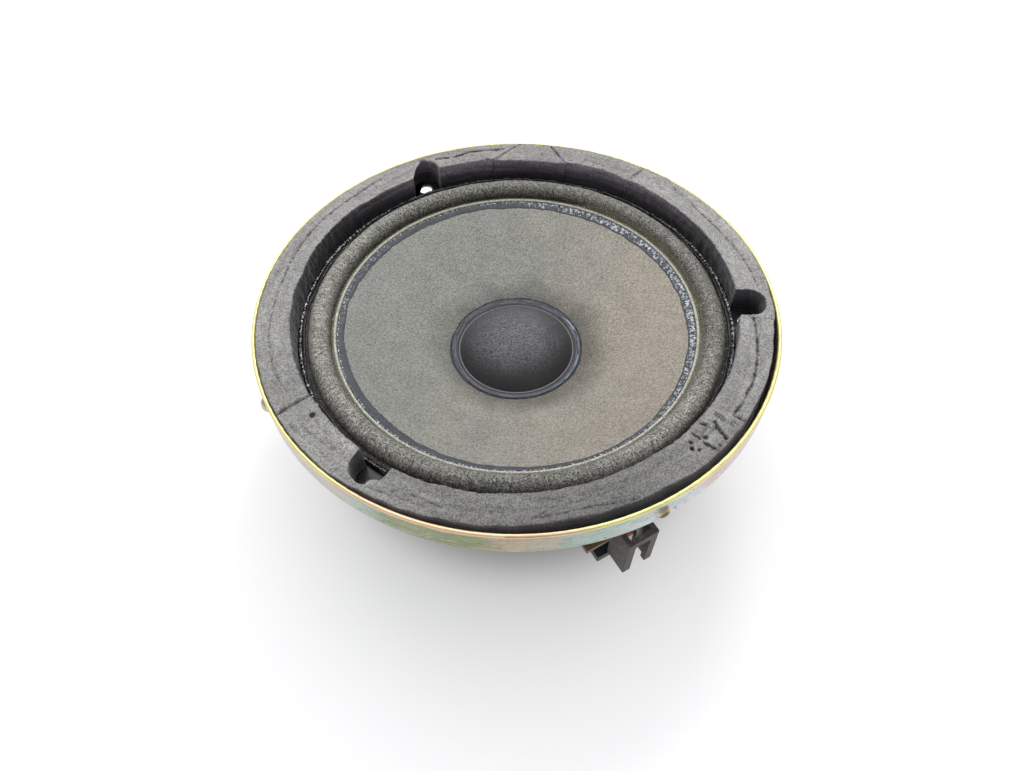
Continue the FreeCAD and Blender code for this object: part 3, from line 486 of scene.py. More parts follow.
def cap_cloth():
    paint = Paint("cap_cloth")
    radius = paint.radius
    threads = paint.weave(0.42, 30.0, 0.5)
    grain = paint.noise(0.60, 3, 0.75)
    rings = paint.noise(0.5, 3, 0.7, rim=21.0, stretch=(1.0, 0.08, 1.0))
    # Painted shade: the dome darkens from near its top to its edge, more at the front.
    painted_shade_reach = paint.maths("SUBTRACT", radius, paint.across(-0.055, 0.198))
    colour = paint.shaded((0.074, 0.071, 0.082), paint.harden(grain, 0.18, 2.0),
                          paint.vary(paint.noise(4.0, 4, 0.6), 0.85, 1.15),
                          paint.ramp(painted_shade_reach, 7.0, 20.8, 1.06, 0.05))
    # The flange band is darker at both its edges, as painted shade where it meets the dome and the cone.
    middle = paint.band(radius, CAP_RADIUS + 0.7, CAP_RADIUS + 1.2, CAP_FLANGE - 0.55, CAP_FLANGE - 0.15)
    slate = paint.colours(middle, (0.016, 0.021, 0.032), (0.078, 0.086, 0.098))
    slate = paint.shaded(slate, paint.ramp(rings, 0.38, 0.62, 0.45, 1.5),
                         paint.ramp(grain, 0.35, 0.65, 0.65, 1.35))
    # A painted highlight: pale blue marks on the flange's right side.
    painted_shine = paint.band(radius, CAP_FLANGE - 1.1, CAP_FLANGE - 0.8, CAP_FLANGE - 0.5, CAP_FLANGE - 0.25)
    painted_shine = paint.product(painted_shine, paint.ramp(paint.x, 11.0, 19.0), paint.ramp(rings, 0.46, 0.58))
    slate = paint.colours(painted_shine, slate, (0.30, 0.38, 0.50))
    colour = paint.colours(paint.ramp(radius, CAP_RADIUS + 0.1, CAP_RADIUS + 0.35), colour, slate)
    line = paint.band(radius, CAP_RADIUS - 0.2, CAP_RADIUS - 0.08, CAP_RADIUS + 0.08, CAP_RADIUS + 0.22)
    colour = paint.colours(line, colour, (0.175, 0.178, 0.185))
    normal = paint.bumps((grain, 0.10, 0.8), (threads, 0.04, 0.6))
    return paint.finish(colour, 0.58, normal, Specular_IOR_Level=0.5, Sheen_Weight=0.4, Sheen_Roughness=0.4)


def film_colours(paint, drift, second, brushed):
    """The chromate film on the wall: tan, green, teal, blue and pink zones in front, and gold behind."""
    tan, pink, teal = (0.50, 0.41, 0.30), (0.64, 0.47, 0.44), (0.40, 0.52, 0.46)
    zones = ((-80, -66, (0.50, 0.46, 0.36)), (-58, -44, teal), (-46, -26, (0.30, 0.35, 0.20)), (-16, 4, tan),
             (6, 24, teal), (30, 44, (0.60, 0.65, 0.65)), (46, 62, pink))
    place = paint.total(paint.x, paint.maths("MULTIPLY_ADD", drift, 70.0, -35.0))
    front = (0.64, 0.61, 0.50)
    for start, end, tint in zones:
        front = paint.colours(paint.ramp(place, start, end), front, tint)
    front = paint.colours(paint.ramp(second, 0.52, 0.70, 0.0, 0.75), front, tan)
    front = paint.colours(paint.ramp(second, 0.46, 0.28, 0.0, 0.6), front, pink)
    moss = paint.product(paint.ramp(brushed, 0.47, 0.58), paint.band(place, -50.0, -35.0, -6.0, 12.0), 0.75)
    front = paint.colours(moss, front, (0.17, 0.20, 0.08))
    veins = paint.maths("ABSOLUTE", paint.maths("SUBTRACT", second, 0.53))
    front = paint.shaded(front, paint.ramp(veins, 0.0, 0.03, 0.78, 1.0))
    back = paint.colours(paint.ramp(drift, 0.28, 0.50), (0.62, 0.49, 0.41), (0.60, 0.52, 0.32))
    back = paint.colours(paint.ramp(drift, 0.50, 0.74), back, (0.44, 0.49, 0.33))
    back = paint.colours(paint.ramp(second, 0.40, 0.75, 0.0, 0.45), back, (0.56, 0.57, 0.53))
    return paint.colours(paint.ramp(paint.y, 12.0, -22.0), back, front)


def chromated_steel(name):
    """Zinc with a yellow chromate film, which drifts in colour on the wall. The lip's paler yellow, less
    metallic than the wall, is partly the film's colour and partly a painted highlight.
    """
    paint = Paint(name)
    height, radius = paint.height, paint.radius
    drift = paint.noise(17, 2, 0.5, distortion=0.6, rim=80.0, stretch=(1.0, 0.7, 1.3))
    second = paint.noise(6, 5, 0.66, distortion=0.8, rim=80.0, stretch=(1.0, 0.6, 1.1))
    brushed = paint.noise(1.6, 4, 0.7, rim=80.0, stretch=(1.0, 0.14, 1.6))
    film = paint.shaded(film_colours(paint, drift, second, brushed), paint.vary(brushed, 0.92, 1.07))
    film = paint.colours(paint.ramp(paint.noise(2.2, 4, 0.7), 0.62, 0.70), film, (0.16, 0.13, 0.07))
    # Painted shading of the dimple: an orange ring and a dark middle.
    gap = paint.total(paint.distance(*DIMPLE), paint.product(second, 1.6))
    film = paint.colours(paint.ramp(gap, 3.6, 2.8, 0.0, 0.85), film, (0.62, 0.42, 0.22))
    film = paint.colours(paint.ramp(gap, 2.8, 1.9), film, (0.10, 0.11, 0.04))
    facing = paint.ramp(paint.across(-0.16, -0.99), 73.5, 78.5)
    # The lip's pale yellow is partly the film's colour and partly a painted highlight.
    rim = paint.colours(facing, (1.0, 0.90, 0.40), (0.96, 0.68, 0.44))
    lip = paint.ramp(height, LIP_TOP - 1.1, LIP_TOP - 0.5)
    colour = paint.colours(lip, film, paint.shaded(rim, paint.vary(drift, 0.86, 1.0)))
    seat = paint.product(paint.band(radius, 68.6, 69.0, 81.0, 81.7),
                         paint.band(height, SEAT_TOP - 0.9, SEAT_TOP - 0.6, SEAT_TOP + 2.0, SEAT_TOP + 3.0))
    colour = paint.colours(seat, colour, (0.016, 0.017, 0.020))
    fine = paint.noise(1.1, 4, 0.7)
    rough = paint.total(paint.ramp(fine, 0.3, 0.75, 0.22, 0.38), paint.product(lip, 0.12))
    metal = paint.total(paint.product(seat, -0.8), paint.product(lip, -0.35), 0.88)
    normal = paint.bumps((paint.noise(3.0, 4, 0.6), 0.06, 0.5), (brushed, 0.03, 0.6))
    return paint.finish(colour, rough, normal, Metallic=metal)


def plain_steel(name, tint):
    paint = Paint(name)
    rings = paint.noise(2.0, rim=20.0, stretch=(2.5, 0.15, 1.0))
    cloud = paint.noise(9, 4, 0.6)
    colour = paint.colours(cloud, tint, tuple(0.72 * part for part in tint))
    colour = paint.shaded(colour, paint.vary(rings, 0.85, 1.1))
    return paint.finish(colour, paint.vary(cloud, 0.28, 0.45), paint.bumps((rings, 0.02, 0.6)), Metallic=0.9)


def ferrite():
    paint = Paint("ferrite")
    grain = paint.noise(0.8, 5, 0.75)
    colour = paint.shaded((0.060, 0.060, 0.064), paint.vary(grain, 0.7, 1.5),
                          paint.ramp(paint.cells(2.4), 0.1, 0.8, 0.85, 1.1))
    return paint.finish(colour, 0.62, paint.bumps((grain, 0.06, 0.7)), Specular_IOR_Level=0.5)


def moulded_plastic(name, tint, roughness):
    paint = Paint(name)
    marks = paint.noise(3.0, 5, 0.75, distortion=0.6)
    dust = paint.noise(0.9, 4, 0.75)
    colour = paint.shaded(tint, paint.ramp(marks, 0.40, 0.70, 0.72, 1.35),
                          paint.ramp(dust, 0.35, 0.68, 0.75, 1.35))
    normal = paint.bumps((paint.noise(0.25, 3, 0.7), 0.03, 0.6))
    rough = paint.ramp(marks, 0.35, 0.7, roughness, roughness + 0.2)
    return paint.finish(colour, rough, normal, Specular_IOR_Level=0.45)


def phenolic_board():
    paint = Paint("phenolic_board")
    fibres = paint.noise(1.2, 5, 0.7, stretch=(1.0, 1.0, 6.0))
    colour = paint.colours(paint.noise(7), (0.20, 0.135, 0.075), (0.145, 0.098, 0.06))
    colour = paint.shaded(colour, paint.vary(fibres, 0.8, 1.25))
    return paint.finish(colour, 0.5, paint.bumps((fibres, 0.03, 0.5)), Specular_IOR_Level=0.5)


def woven_metal(name, tint, pitch):
    paint = Paint(name)
    twist = paint.cells(pitch)
    colour = paint.shaded(tint, paint.ramp(twist, 0.05, 0.6, 1.15, 0.55),
                          paint.vary(paint.noise(3), 0.8, 1.1))
    return paint.finish(colour, 0.36, paint.bumps((twist, 0.06, 0.7)), Metallic=0.85)


def coil_former():
    paint = Paint("coil_former")
    fibres = paint.noise(1.6, 4, stretch=(1.0, 1.0, 5.0))
    colour = paint.shaded((0.50, 0.30, 0.12), paint.vary(fibres, 0.75, 1.2))
    return paint.finish(colour, 0.4, paint.bumps((fibres, 0.02, 1.0)), Specular_IOR_Level=0.5)


def wound_copper():
    """Turns of enamelled wire, one above the other."""
    paint = Paint("wound_copper")
    turns = paint.maths("SINE", paint.product(paint.height, 2 * math.pi / 0.28))
    colour = paint.colours(paint.noise(3), (0.66, 0.27, 0.12), (0.48, 0.18, 0.08))
    colour = paint.shaded(colour, paint.ramp(turns, -1.0, 0.6, 0.45, 1.1))
    return paint.finish(colour, 0.3, paint.bumps((turns, 0.08, 1.0)), Metallic=0.85)


def spider_cloth():
    paint = Paint("spider_cloth")
    threads = paint.weave(0.9, 0.0, 0.5)
    colour = paint.colours(paint.noise(12), (0.50, 0.38, 0.16), (0.42, 0.31, 0.13))
    colour = paint.shaded(colour, paint.ramp(threads, 0.05, 0.95, 0.6, 1.15))
    normal = paint.bumps((threads, 0.14, 0.9), (paint.noise(0.8, 4, 0.7), 0.06, 0.6))
    return paint.finish(colour, 0.8, normal, Specular_IOR_Level=0.3)


def studio_floor():
    """A pale board that glows as painted light, with no glow under the loudspeaker, as a painted shadow."""
    paint = Paint("studio_floor")
    colour = paint.colours(paint.noise(120, 2), (0.75, 0.75, 0.765), (0.73, 0.73, 0.745))
    normal = paint.bumps((paint.noise(2.5, 4, 0.6), 0.02, 0.4))
    return paint.finish(colour, 0.85, normal, Specular_IOR_Level=0.2, Emission_Color=(0.98, 0.985, 1.0),
                        Emission_Strength=paint.ramp(paint.radius, 50.0, 78.0, 0.0, 0.38))


# ---------------------------------------------------------------- gasket

NOTCH_HALF = 5.5
NOTCH_END = 79.2
NOTCH_START = 72.9                           # beyond the inner edge anywhere else
FOOT_INNER = 70.9
FOOT_OUTER = 80.9
LIP_INSIDE = 81.72
CORNER = 0.45                                # rounding of the foam's top edges
COLUMN_STEP = math.degrees(0.28 / 71.0)
WALL_ROWS, TOP_ROWS, OUTER_ROWS = 14, 38, 9
ALONG_RIM = math.radians(76.0)               # millimetres along the middle of the foam for each degree

# The foam's outer edge, round the ring: angle and radius
OUTER_EDGE = ((0, 81.3), (10, 81.7), (55, LIP_INSIDE), (234, LIP_INSIDE), (248, 80.9), (262, 80.4),
              (285, 79.4), (300, 79.4), (310, 80.1), (350, 80.4))

# Each strip: the angles of its two seams at the inner and outer edge, and its inner edge at the top
STRIPS = {
    "right": ((-5.1, -5.1), (57.8, 55.8), ((-5, 70.6), (4, 70.6), (40, 71.2), (58, 72.0))),
    "back_right": ((58.0, 56.0), (76.9, 83.0), ((57, 72.2), (68, 72.4), (78, 72.0))),
    "back": ((77.1, 83.2), (98.9, 90.5), ((77, 71.1), (88, 70.8), (99, 71.3))),
    "left": ((99.1, 90.7), (215.9, 216.7), ((95, 72.4), (112, 72.3), (131, 71.2), (154, 71.8), (176, 71.3),
                                          (200, 70.9), (216, 70.9))),
    "front": ((216.1, 216.9), (354.7, 354.7), ((216, 70.8), (232, 70.7), (246, 71.3), (262, 71.1),
                                               (272, 70.6), (288, 70.0), (303, 69.6), (337, 69.7),
                                               (355, 70.1))),
}

# Grooves pressed or torn into the foam's top: (angle, radius) points, depth, half width
CREASES = [
    (((5, 78), (14, 77.5), (24, 76.5), (33, 76.5), (41, 77.5), (46, 79)), 0.5, 0.3),
    (((63, 79), (68, 78), (73, 78)), 0.25, 0.4),
    (((66, 75), (72, 75.5)), 0.35, 0.4),
    (((57, 72), (56, 81.5)), 0.5, 0.2),
    (((77, 71), (83, 81.5)), 0.5, 0.2),
    (((99, 71.5), (90.5, 81.5)), 0.5, 0.2),
    (((95.5, 78), (106, 78), (110, 77), (115, 78)), 0.95, 0.35),
    (((99.5, 71), (100.5, 72.5), (102.5, 71.5)), 0.9, 0.4),
    (((104, 76), (112, 75)), 0.2, 0.4),
    (((120, 75), (134, 75)), 0.2, 0.3),
    (((141, 72), (141.5, 81)), 0.2, 0.25),
    (((132, 78), (142, 77), (154, 77.5), (166, 77), (178, 76.5)), 0.6, 0.3),
    (((177, 76.5), (185, 77), (195, 77.5), (206, 77.5), (212, 76)), 0.4, 0.3),
    (((151, 79.5), (182, 79)), 0.15, 0.35),
    (((160, 74.5), (186, 74)), 0.15, 0.4),
    (((215.5, 71), (216, 79), (216.5, 81.5)), 0.8, 0.3),
    (((221, 80), (229, 78.5), (236, 79.5)), 0.25, 0.35),
    (((222, 77.5), (229, 76.5)), 0.3, 0.25),
    (((226, 74), (232, 73.5)), 0.3, 0.25),
    (((232.5, 71.5), (234, 76.5)), 0.3, 0.3),
    (((242, 79.5), (246, 78.5), (255, 78)), 0.3, 0.3),
    (((247, 77.5), (250, 76), (258, 77)), 0.35, 0.35),
    (((273, 80), (280, 75)), 0.35, 0.25),
    (((275, 78), (280, 77.5), (288, 77), (296, 79)), 0.4, 0.3),
    (((274, 73), (300, 73)), 0.2, 0.5),
    (((266, 75), (276, 75.5), (290, 74.5), (303, 74)), 0.2, 0.35),
    (((306, 71), (307.5, 79)), 0.2, 0.3),
    (((309.5, 71.5), (310.5, 77)), 0.2, 0.3),
    (((315, 71), (315.5, 73), (315, 75.5)), 0.9, 0.25),
    (((315, 75.5), (315.5, 78.5)), 1.3, 0.35),
    (((319, 70), (319, 74.5)), 0.5, 0.25),
    (((318.5, 71), (319, 72.5)), 1.2, 0.35),
    (((321, 73.5), (320, 75.5), (319, 79)), 1.35, 0.3),
    (((320, 74), (319, 77)), 0.5, 0.2),
    (((317, 77.5), (317, 79), (315.5, 79.5)), 0.5, 0.25),
    (((355, 74.5), (348, 75.5), (335, 77), (332, 76.5), (329.5, 77)), 0.85, 0.3),
    (((329.5, 77), (327, 76.5), (325, 76.5), (325, 80)), 0.9, 0.3),
    (((348, 70.5), (349, 73)), 0.25, 0.35),
]
# Small pits: angle, radius, depth, half width
PITS = [(221, 73.5, 0.9, 0.9), (231, 75.5, 0.25, 1.2), (313, 73, 1.1, 0.6), (312, 74.5, 1.1, 0.6),
        (313, 76, 0.8, 0.5), (316.5, 74.5, 0.8, 0.7), (69, 74, 0.35, 0.8)]
# A row of short ridges across the foam: angle, first and last radius, spacing, half length in degrees
RIDGES = (323, 72, 79, 0.75, 0.9)
CRUMPLE = (317.0, 75.4, 6.0, 4.2, 0.26)     # angle, radius, half length along the rim, half width, height

# How much painted light and shade brighten or darken the foam's top, round the ring: darker at the front,
# lighter at the back and sides
FOAM_PAINTED_LIGHT_AND_SHADE = ((0, 1.28), (20, 1.42), (45, 1.40), (65, 1.12), (90, 1.10), (112, 1.22), (150, 1.22),
             (190, 1.25), (215, 1.15), (232, 1.28), (246, 1.02), (262, 0.82), (290, 0.74), (304, 0.84),
             (318, 1.06), (335, 1.25))


def inner_outline(seam_start, seam_end, inner_edge):
    """The strip's inner edge at the top as points, with a U-shaped notch at each mounting hole inside it."""
    keys, values = np.array(inner_edge, float).T
    holes = [angle for hole in HOLE_ANGLES for angle in (hole, hole + TURN) if seam_start < angle < seam_end]
    pieces = []
    here = seam_start
    for angle in holes + [seam_end]:
        inner = interpolate(angle, keys, values)
        half = math.degrees(math.asin(NOTCH_HALF / inner)) if angle in holes else 0.0
        count = max(2, int((angle - half - here) / COLUMN_STEP))
        span = np.linspace(here, angle - half, count, endpoint=angle not in holes)
        pieces.append(polar(interpolate(span, keys, values), span, 0.0)[:, :2])
        if angle in holes:
            pieces.append(notch_outline(angle, inner))
            here = angle + half
    return np.concatenate(pieces)


def notch_outline(angle, inner):
    """A U from the inner edge out and back, open to the inside."""
    end = NOTCH_END - NOTCH_HALF
    straight = np.linspace(math.sqrt(inner ** 2 - NOTCH_HALF ** 2), end, 10, endpoint=False)
    bend = np.radians(np.linspace(-90, 90, 40))
    x = np.concatenate([straight, end + NOTCH_HALF * np.cos(bend), straight[::-1]])
    y = np.concatenate([np.full(10, -NOTCH_HALF), NOTCH_HALF * np.sin(bend), np.full(10, NOTCH_HALF)])
    return np.stack(spun(x, y, angle), -1)


def outer_outline(inner, seam_start, seam_end):
    """The angle of an outer point for each inner one, spread so that the lines between them never cross."""
    angles = np.degrees(np.unwrap(np.arctan2(inner[:, 1], inner[:, 0])))
    angles += TURN * round((seam_start[0] - angles[0]) / TURN)
    window = min(61, len(angles) // 2 * 2 - 1)
    step = (angles[-1] - angles[0]) / (len(angles) - 1)
    lead = step * np.arange(1, 2 * window + 1)
    smooth = np.concatenate([angles[0] - lead[::-1], angles, angles[-1] + lead])
    for _ in range(3):
        smooth = np.convolve(smooth, np.ones(window) / window, mode="same")
    smooth = np.maximum.accumulate(smooth[2 * window:-2 * window])
    share = (smooth - smooth[0]) / (smooth[-1] - smooth[0])
    return seam_start[1] + share * (seam_end[1] - seam_start[1])


def distance_to_path(place, corners):
    """Distance of each unrolled point from a line of (angle, radius) corners."""
    path = np.array(corners) * (ALONG_RIM, 1)
    nearest = np.full(len(place), np.inf)
    for start, end in zip(path, path[1:]):
        along = end - start
        share = np.clip(((place - start) @ along) / (along @ along), 0, 1)
        nearest = np.minimum(nearest, np.linalg.norm(place - (start + share[:, None] * along), axis=1))
    return nearest


def crease_depth(place):
    """How deep the creases cut at each top point, and how much the foam stands up beside them."""
    flat = np.concatenate([place, np.zeros((len(place), 1))], 1)
    wander = 0.10 * smooth_noise(flat, 1.3, 91)
    waver = np.clip(0.85 + 0.3 * smooth_noise(flat, 3.5, 93), 0.5, 1)
    turn = np.degrees(np.arctan2(place[:, 1], place[:, 0])) % TURN
    radius = np.linalg.norm(place, axis=1)
    unrolled = np.stack([turn * ALONG_RIM, radius], 1)
    depth, rims = np.zeros(len(place)), np.zeros(len(place))
    for corners, deep, half in CREASES:
        nearest = np.abs(distance_to_path(unrolled, corners) + wander)
        depth = np.maximum(depth, waver * deep * np.exp(-nearest / half))
        rims = np.maximum(rims, 0.16 * deep * np.exp(-((nearest - 2.6 * half) / half) ** 2))
    for pit_angle, pit_radius, deep, half in PITS:
        gap = np.linalg.norm(unrolled - (pit_angle * ALONG_RIM, pit_radius), axis=1)
        depth = np.maximum(depth, deep * np.exp(-(gap / half) ** 3))
        rims = np.maximum(rims, 0.15 * deep * np.exp(-((gap - 1.5 * half) / (0.5 * half)) ** 2))
    ridge_angle, first, last, spacing, half_length = RIDGES
    inside = np.exp(-((turn - ridge_angle) / half_length) ** 6) * (radius > first) * (radius < last)
    uneven = np.clip(0.7 + 0.5 * smooth_noise(flat, 1.8, 92), 0, 1)
    depth += inside * 0.55 * uneven * (0.5 + 0.5 * np.cos(2 * np.pi * (radius - first) / spacing))
    return depth, rims


def crumple(points):
    """The lumps of a pressed and torn patch."""
    angle, middle, length, width, rise = CRUMPLE
    centre = polar(middle, angle, 0.0)[:2]
    outward = centre / middle
    gap = points[..., :2] - centre
    along, radial = gap @ np.array([-outward[1], outward[0]]), gap @ outward
    inside = np.exp(-(along / length) ** 4 - (radial / width) ** 4)
    return rise * inside * (smooth_noise(points, 1.9, 77) - 0.3)


def strip_edges(seam_start, seam_end, inner_edge, seed):
    """The angle of each column, and the X and Y of the strip's long edges."""
    top_inner = inner_outline(seam_start[0], seam_end[0], inner_edge)
    angles = outer_outline(top_inner, seam_start, seam_end)
    spot = np.concatenate([top_inner, np.zeros((len(top_inner), 1))], 1)
    radius = np.linalg.norm(top_inner, axis=1)
    in_notch = radius > NOTCH_START
    wander = np.where(in_notch, 0.4, 1.0) * 0.09 * smooth_noise(spot, 14.0, seed)
    wall_inner = top_inner * (1 + wander / radius)[:, None]
    top_inner = wall_inner * (1 + layered_noise(spot, seed + 1, (0.06, 2.6), (0.06, 0.9)) / radius)[:, None]
    outer = round_interpolate(angles, OUTER_EDGE)
    outer = np.minimum(outer + 0.10 * smooth_noise(polar(outer, angles, 50.0), 7.0, seed + 3), LIP_INSIDE)
    top_outer = polar(outer, angles, 0.0)[:, :2]
    foot_outer = polar(np.minimum(outer, FOOT_OUTER), angles, 0.0)[:, :2]
    wall_radius = np.linalg.norm(wall_inner, axis=1)
    foot_inner = wall_inner * (np.where(in_notch, wall_radius, FOOT_INNER) / wall_radius)[:, None]
    return angles, top_inner, top_outer, wall_inner, foot_inner, foot_outer


def strip_section(top_inner, top_outer, wall_inner, foot_inner, foot_outer, across):
    """Points of the inner wall, top, outer wall and underside, and how far each belongs to the skin."""
    low, high = SEAT_TOP + 0.06, FOAM_TOP - 0.16
    shoulder = high - CORNER
    rows = []
    for share in np.arange(WALL_ROWS) / WALL_ROWS:
        wall = wall_inner + (top_inner - wall_inner) * max(0.0, share - 0.75) * 4
        rows.append((foot_inner + (wall - foot_inner) * share, low + (shoulder - low) * share, 0.0))
    bend = [(across * CORNER * (1 - math.cos(math.radians(turn))),
             shoulder + CORNER * math.sin(math.radians(turn)), turn / 90) for turn in (0, 22.5, 45, 67.5)]
    rows += [(top_inner + inward, height, share) for inward, height, share in bend]
    start, end = top_inner + across * CORNER, top_outer - across * CORNER
    rows += [(start + (end - start) * share, high, 1.0) for share in np.arange(TOP_ROWS + 1) / TOP_ROWS]
    rows += [(top_outer - inward, height, share) for inward, height, share in bend[::-1]]
    rows += [(top_outer + (foot_outer - top_outer) * share, shoulder + (low - shoulder) * share, 0.0)
             for share in np.arange(1, OUTER_ROWS + 1) / OUTER_ROWS]
    rows += [(foot_outer + (foot_inner - foot_outer) * share, low, 0.0) for share in (0.2, 0.4, 0.6, 0.8)]
    flat = np.stack([row[0] for row in rows], 1)
    height, skin = (np.broadcast_to([row[k] for row in rows], flat.shape[:2]) for k in (1, 2))
    return np.concatenate([flat, height[..., None]], -1), skin


def gasket_strip(name, seam_start, seam_end, inner_edge, material, seed):
    """One length of foam, closed with an end face at each seam."""
    angles, *edges = strip_edges(seam_start, seam_end, inner_edge, seed)
    across = edges[1] - edges[0]
    across /= np.linalg.norm(across, axis=1)[:, None]
    points, skin = strip_section(*edges, across)
    cut, rims = (part.reshape(skin.shape) * skin for part in crease_depth(points[..., :2].reshape(-1, 2)))
    swell = layered_noise(points, seed + 4, (0.11, 9.0), (0.05, 2.2), (0.03, 0.8)) + crumple(points)
    relief = np.where(skin > 0, swell * skin + rims - cut, 0.0)
    points[..., 2] = np.minimum(points[..., 2] + relief, FOAM_TOP)
    push = layered_noise(points, seed + 7, (0.10, 4.0), (0.05, 1.2)) * (1 - skin)
    push[:, WALL_ROWS:] = 0
    points[..., :2] += across[:, None, :] * push[..., None]
    # Painted light and shade round the ring, for the material.
    painted_light_and_shade = np.broadcast_to(round_interpolate(angles, FOAM_PAINTED_LIGHT_AND_SHADE)[:, None], skin.shape)
    # The crease value is painted shade in the creases.
    return grid_object(name, points, material, wrap_across=True, caps=True,
                       attributes={"skin": skin, "painted_crease_shade": np.clip(cut * 1.9, 0, 1), "painted_light_and_shade": painted_light_and_shade})


def make_gasket():
    material = gasket_foam()
    for index, (name, strip) in enumerate(STRIPS.items()):
        piece = gasket_strip("foam_strip_" + name, *strip, material, 100 + 20 * index)
        stand_for(piece, "frame", "gasket_foam", "gasket_strip_" + name)


# ---------------------------------------------------------------- surround

# The surround's inner lip: outward and upward from its foot
LIP_BEND = ((0.1, 0.58), (0.35, 0.72), (0.6, 0.74), (0.85, 0.66), (1.1, 0.56), (1.25, 0.46))

# How much painted light and shade brighten or darken the roll, round the ring
ROLL_PAINTED_LIGHT_AND_SHADE = ((0, 0.82), (20, 0.80), (45, 0.86), (75, 0.85), (95, 0.82), (120, 0.92), (160, 1.25),
             (185, 1.28), (215, 1.15), (240, 1.0), (262, 0.75), (285, 0.74), (305, 1.1), (325, 1.25),
             (340, 1.0))

# Where pale flecks are painted on the black bead as highlights, round the ring
BEAD_PAINTED_GLINT = ((5, 0.9), (20, 1.0), (36, 0.5), (52, 0.0), (118, 0.0), (135, 0.3), (158, 0.9), (180, 1.0),
            (214, 1.0), (232, 0.8), (246, 0.3), (262, 0.0), (335, 0.0), (350, 0.7))


def radial_blend(piece, node):
    """Hides the CAD node, bakes the piece's placement into its mesh and reads its points."""
    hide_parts(node)
    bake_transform(piece)
    place = np.zeros(3 * len(piece.data.vertices), np.float32)
    piece.data.vertices.foreach_get("co", place)


def make_surround():
    seat = SEAT_TOP + 0.03
    foot = CONE_TOP + 0.1
    left, right = ROLL_RADIUS - ROLL_WIDTH, ROLL_RADIUS + ROLL_WIDTH
    centre = (ROLL_RADIUS, ROLL_BASE)
    outline = line_rows((SURROUND_LIP, foot), (SURROUND_LIP, foot + 0.4), 2)
    outline += [(SURROUND_LIP + out, foot + up) for out, up in LIP_BEND]
    outline += [(left - 0.15, foot + 0.42)] + arc_rows(centre, ROLL_WIDTH, ROLL_HEIGHT, 180, 0, 48)
    outline += [(right + 0.1, seat + 0.95), (right + 0.35, seat + 0.82)]
    outline += line_rows((right + 0.6, seat + 0.8), (SURROUND_OUTER, seat + 0.75), 5)
    outline += line_rows((SURROUND_OUTER, seat + 0.7), (SURROUND_OUTER, seat), 2)
    outline += line_rows((SURROUND_OUTER - 0.1, seat), (right - ROLL_SHEET, seat), 4)
    outline += arc_rows(centre, ROLL_WIDTH - ROLL_SHEET, ROLL_HEIGHT - ROLL_SHEET, 0, 180, 24)
    outline += line_rows((left + ROLL_SHEET, foot), (SURROUND_LIP, foot), 4)

    def shift(radius, height, angle):
        points = polar(radius, angle, height)
        swell = layered_noise(points, 301, (0.05, 7.0), (0.035, 1.5), (0.035, 0.65))
        swell *= (radius > left) & (radius < right) & (height > ROLL_BASE + 0.2)
        away_r, away_z = radius - ROLL_RADIUS, height - ROLL_BASE
        size = np.hypot(away_r, away_z) + 1e-6
        return radius + swell * away_r / size, height + swell * away_z / size

    piece = turned_ring("foam_surround", outline, surround_foam(), 900, shift, {"painted_light_and_shade": ROLL_PAINTED_LIGHT_AND_SHADE})
    radial_blend(piece, "surround")


def make_surround_adhesive(material):
    """The bead of black adhesive: a full outer run and a thin inner one, both uneven."""
    foot = SEAT_TOP + 0.9
    outline = line_rows((68.55, foot), (68.55, foot + 0.2), 2)
    outline += arc_rows((68.9, foot + 0.2), 0.34, 0.35, 170, 20, 5)
    outline += [(69.25, foot + 0.22)] + arc_rows((69.95, foot + 0.3), 0.66, 0.85, 165, 10, 10)
    outline += line_rows((70.65, foot + 0.2), (70.65, foot), 2) + line_rows((70.5, foot), (68.6, foot), 5)

    def shift(radius, height, angle):
        ring = polar(70.0, angle, 0 * height)
        width = 1.0 + 0.16 * smooth_noise(ring, 17.0, 401)
        middle = BEAD_RADIUS + 0.10 * smooth_noise(ring, 23.0, 402)
        lump = layered_noise(polar(radius, angle, height), 403, (0.10, 2.4), (0.06, 0.8))
        proud = np.clip((height - foot) / 0.5, 0, 1)
        return np.clip(middle + (radius - BEAD_RADIUS) * width, 68.3, 70.78), height + lump * proud

    piece = turned_ring("adhesive_bead_surround", outline, material, 1300, shift, {"wet_and_painted_glint": BEAD_PAINTED_GLINT})
    stand_for(piece, "frame", "black_adhesive", "surround_adhesive_ring")


# ---------------------------------------------------------------- cone and its adhesives

# Inner radius of the adhesive, and how glossy and ridged it is, round the ring; highlights are painted on it
# where it is glossy
GLUE_INNER = ((10, 55.8), (60, 55.7), (120, 56.1), (190, 56.4), (225, 55.8), (250, 56.6), (300, 57.5),
              (350, 56.2))
GLUE_WET_AND_GLINT = ((2, 0.9), (20, 1.0), (45, 0.9), (65, 0.75), (80, 0.5), (92, 0.15), (125, 0.1), (150, 0.2),
            (180, 0.25), (205, 0.1), (235, 0.05), (270, 0.05), (300, 0.1), (325, 0.35), (345, 0.7))


def make_cone():
    radii = (*np.linspace(NECK_RADIUS, CONE_BEND - 0.4, 70), *np.linspace(CONE_BEND - 0.2, CONE_EDGE, 8))
    top = [(r, min(float(cone_height(r)), CONE_TOP)) for r in radii]
    under = [(r, h - CONE_SHEET) for r, h in top[::-3]]
    if under[-1][0] != top[0][0]:
        under.append((top[0][0], top[0][1] - CONE_SHEET))

    def shift(radius, height, angle):
        fade = np.clip((radius - 24) / 8, 0, 1) * np.clip((56 - radius) / 6, 0, 1)
        wave = layered_noise(polar(radius, angle, 0 * height), 501, (0.06, 26.0), (0.02, 6.0))
        return radius, height + wave * fade

    piece = turned_ring("woven_cone", top + under, cone_weave(), 480, shift)
    stand_for(piece, "moving_assembly", "cone_weave", "cone")


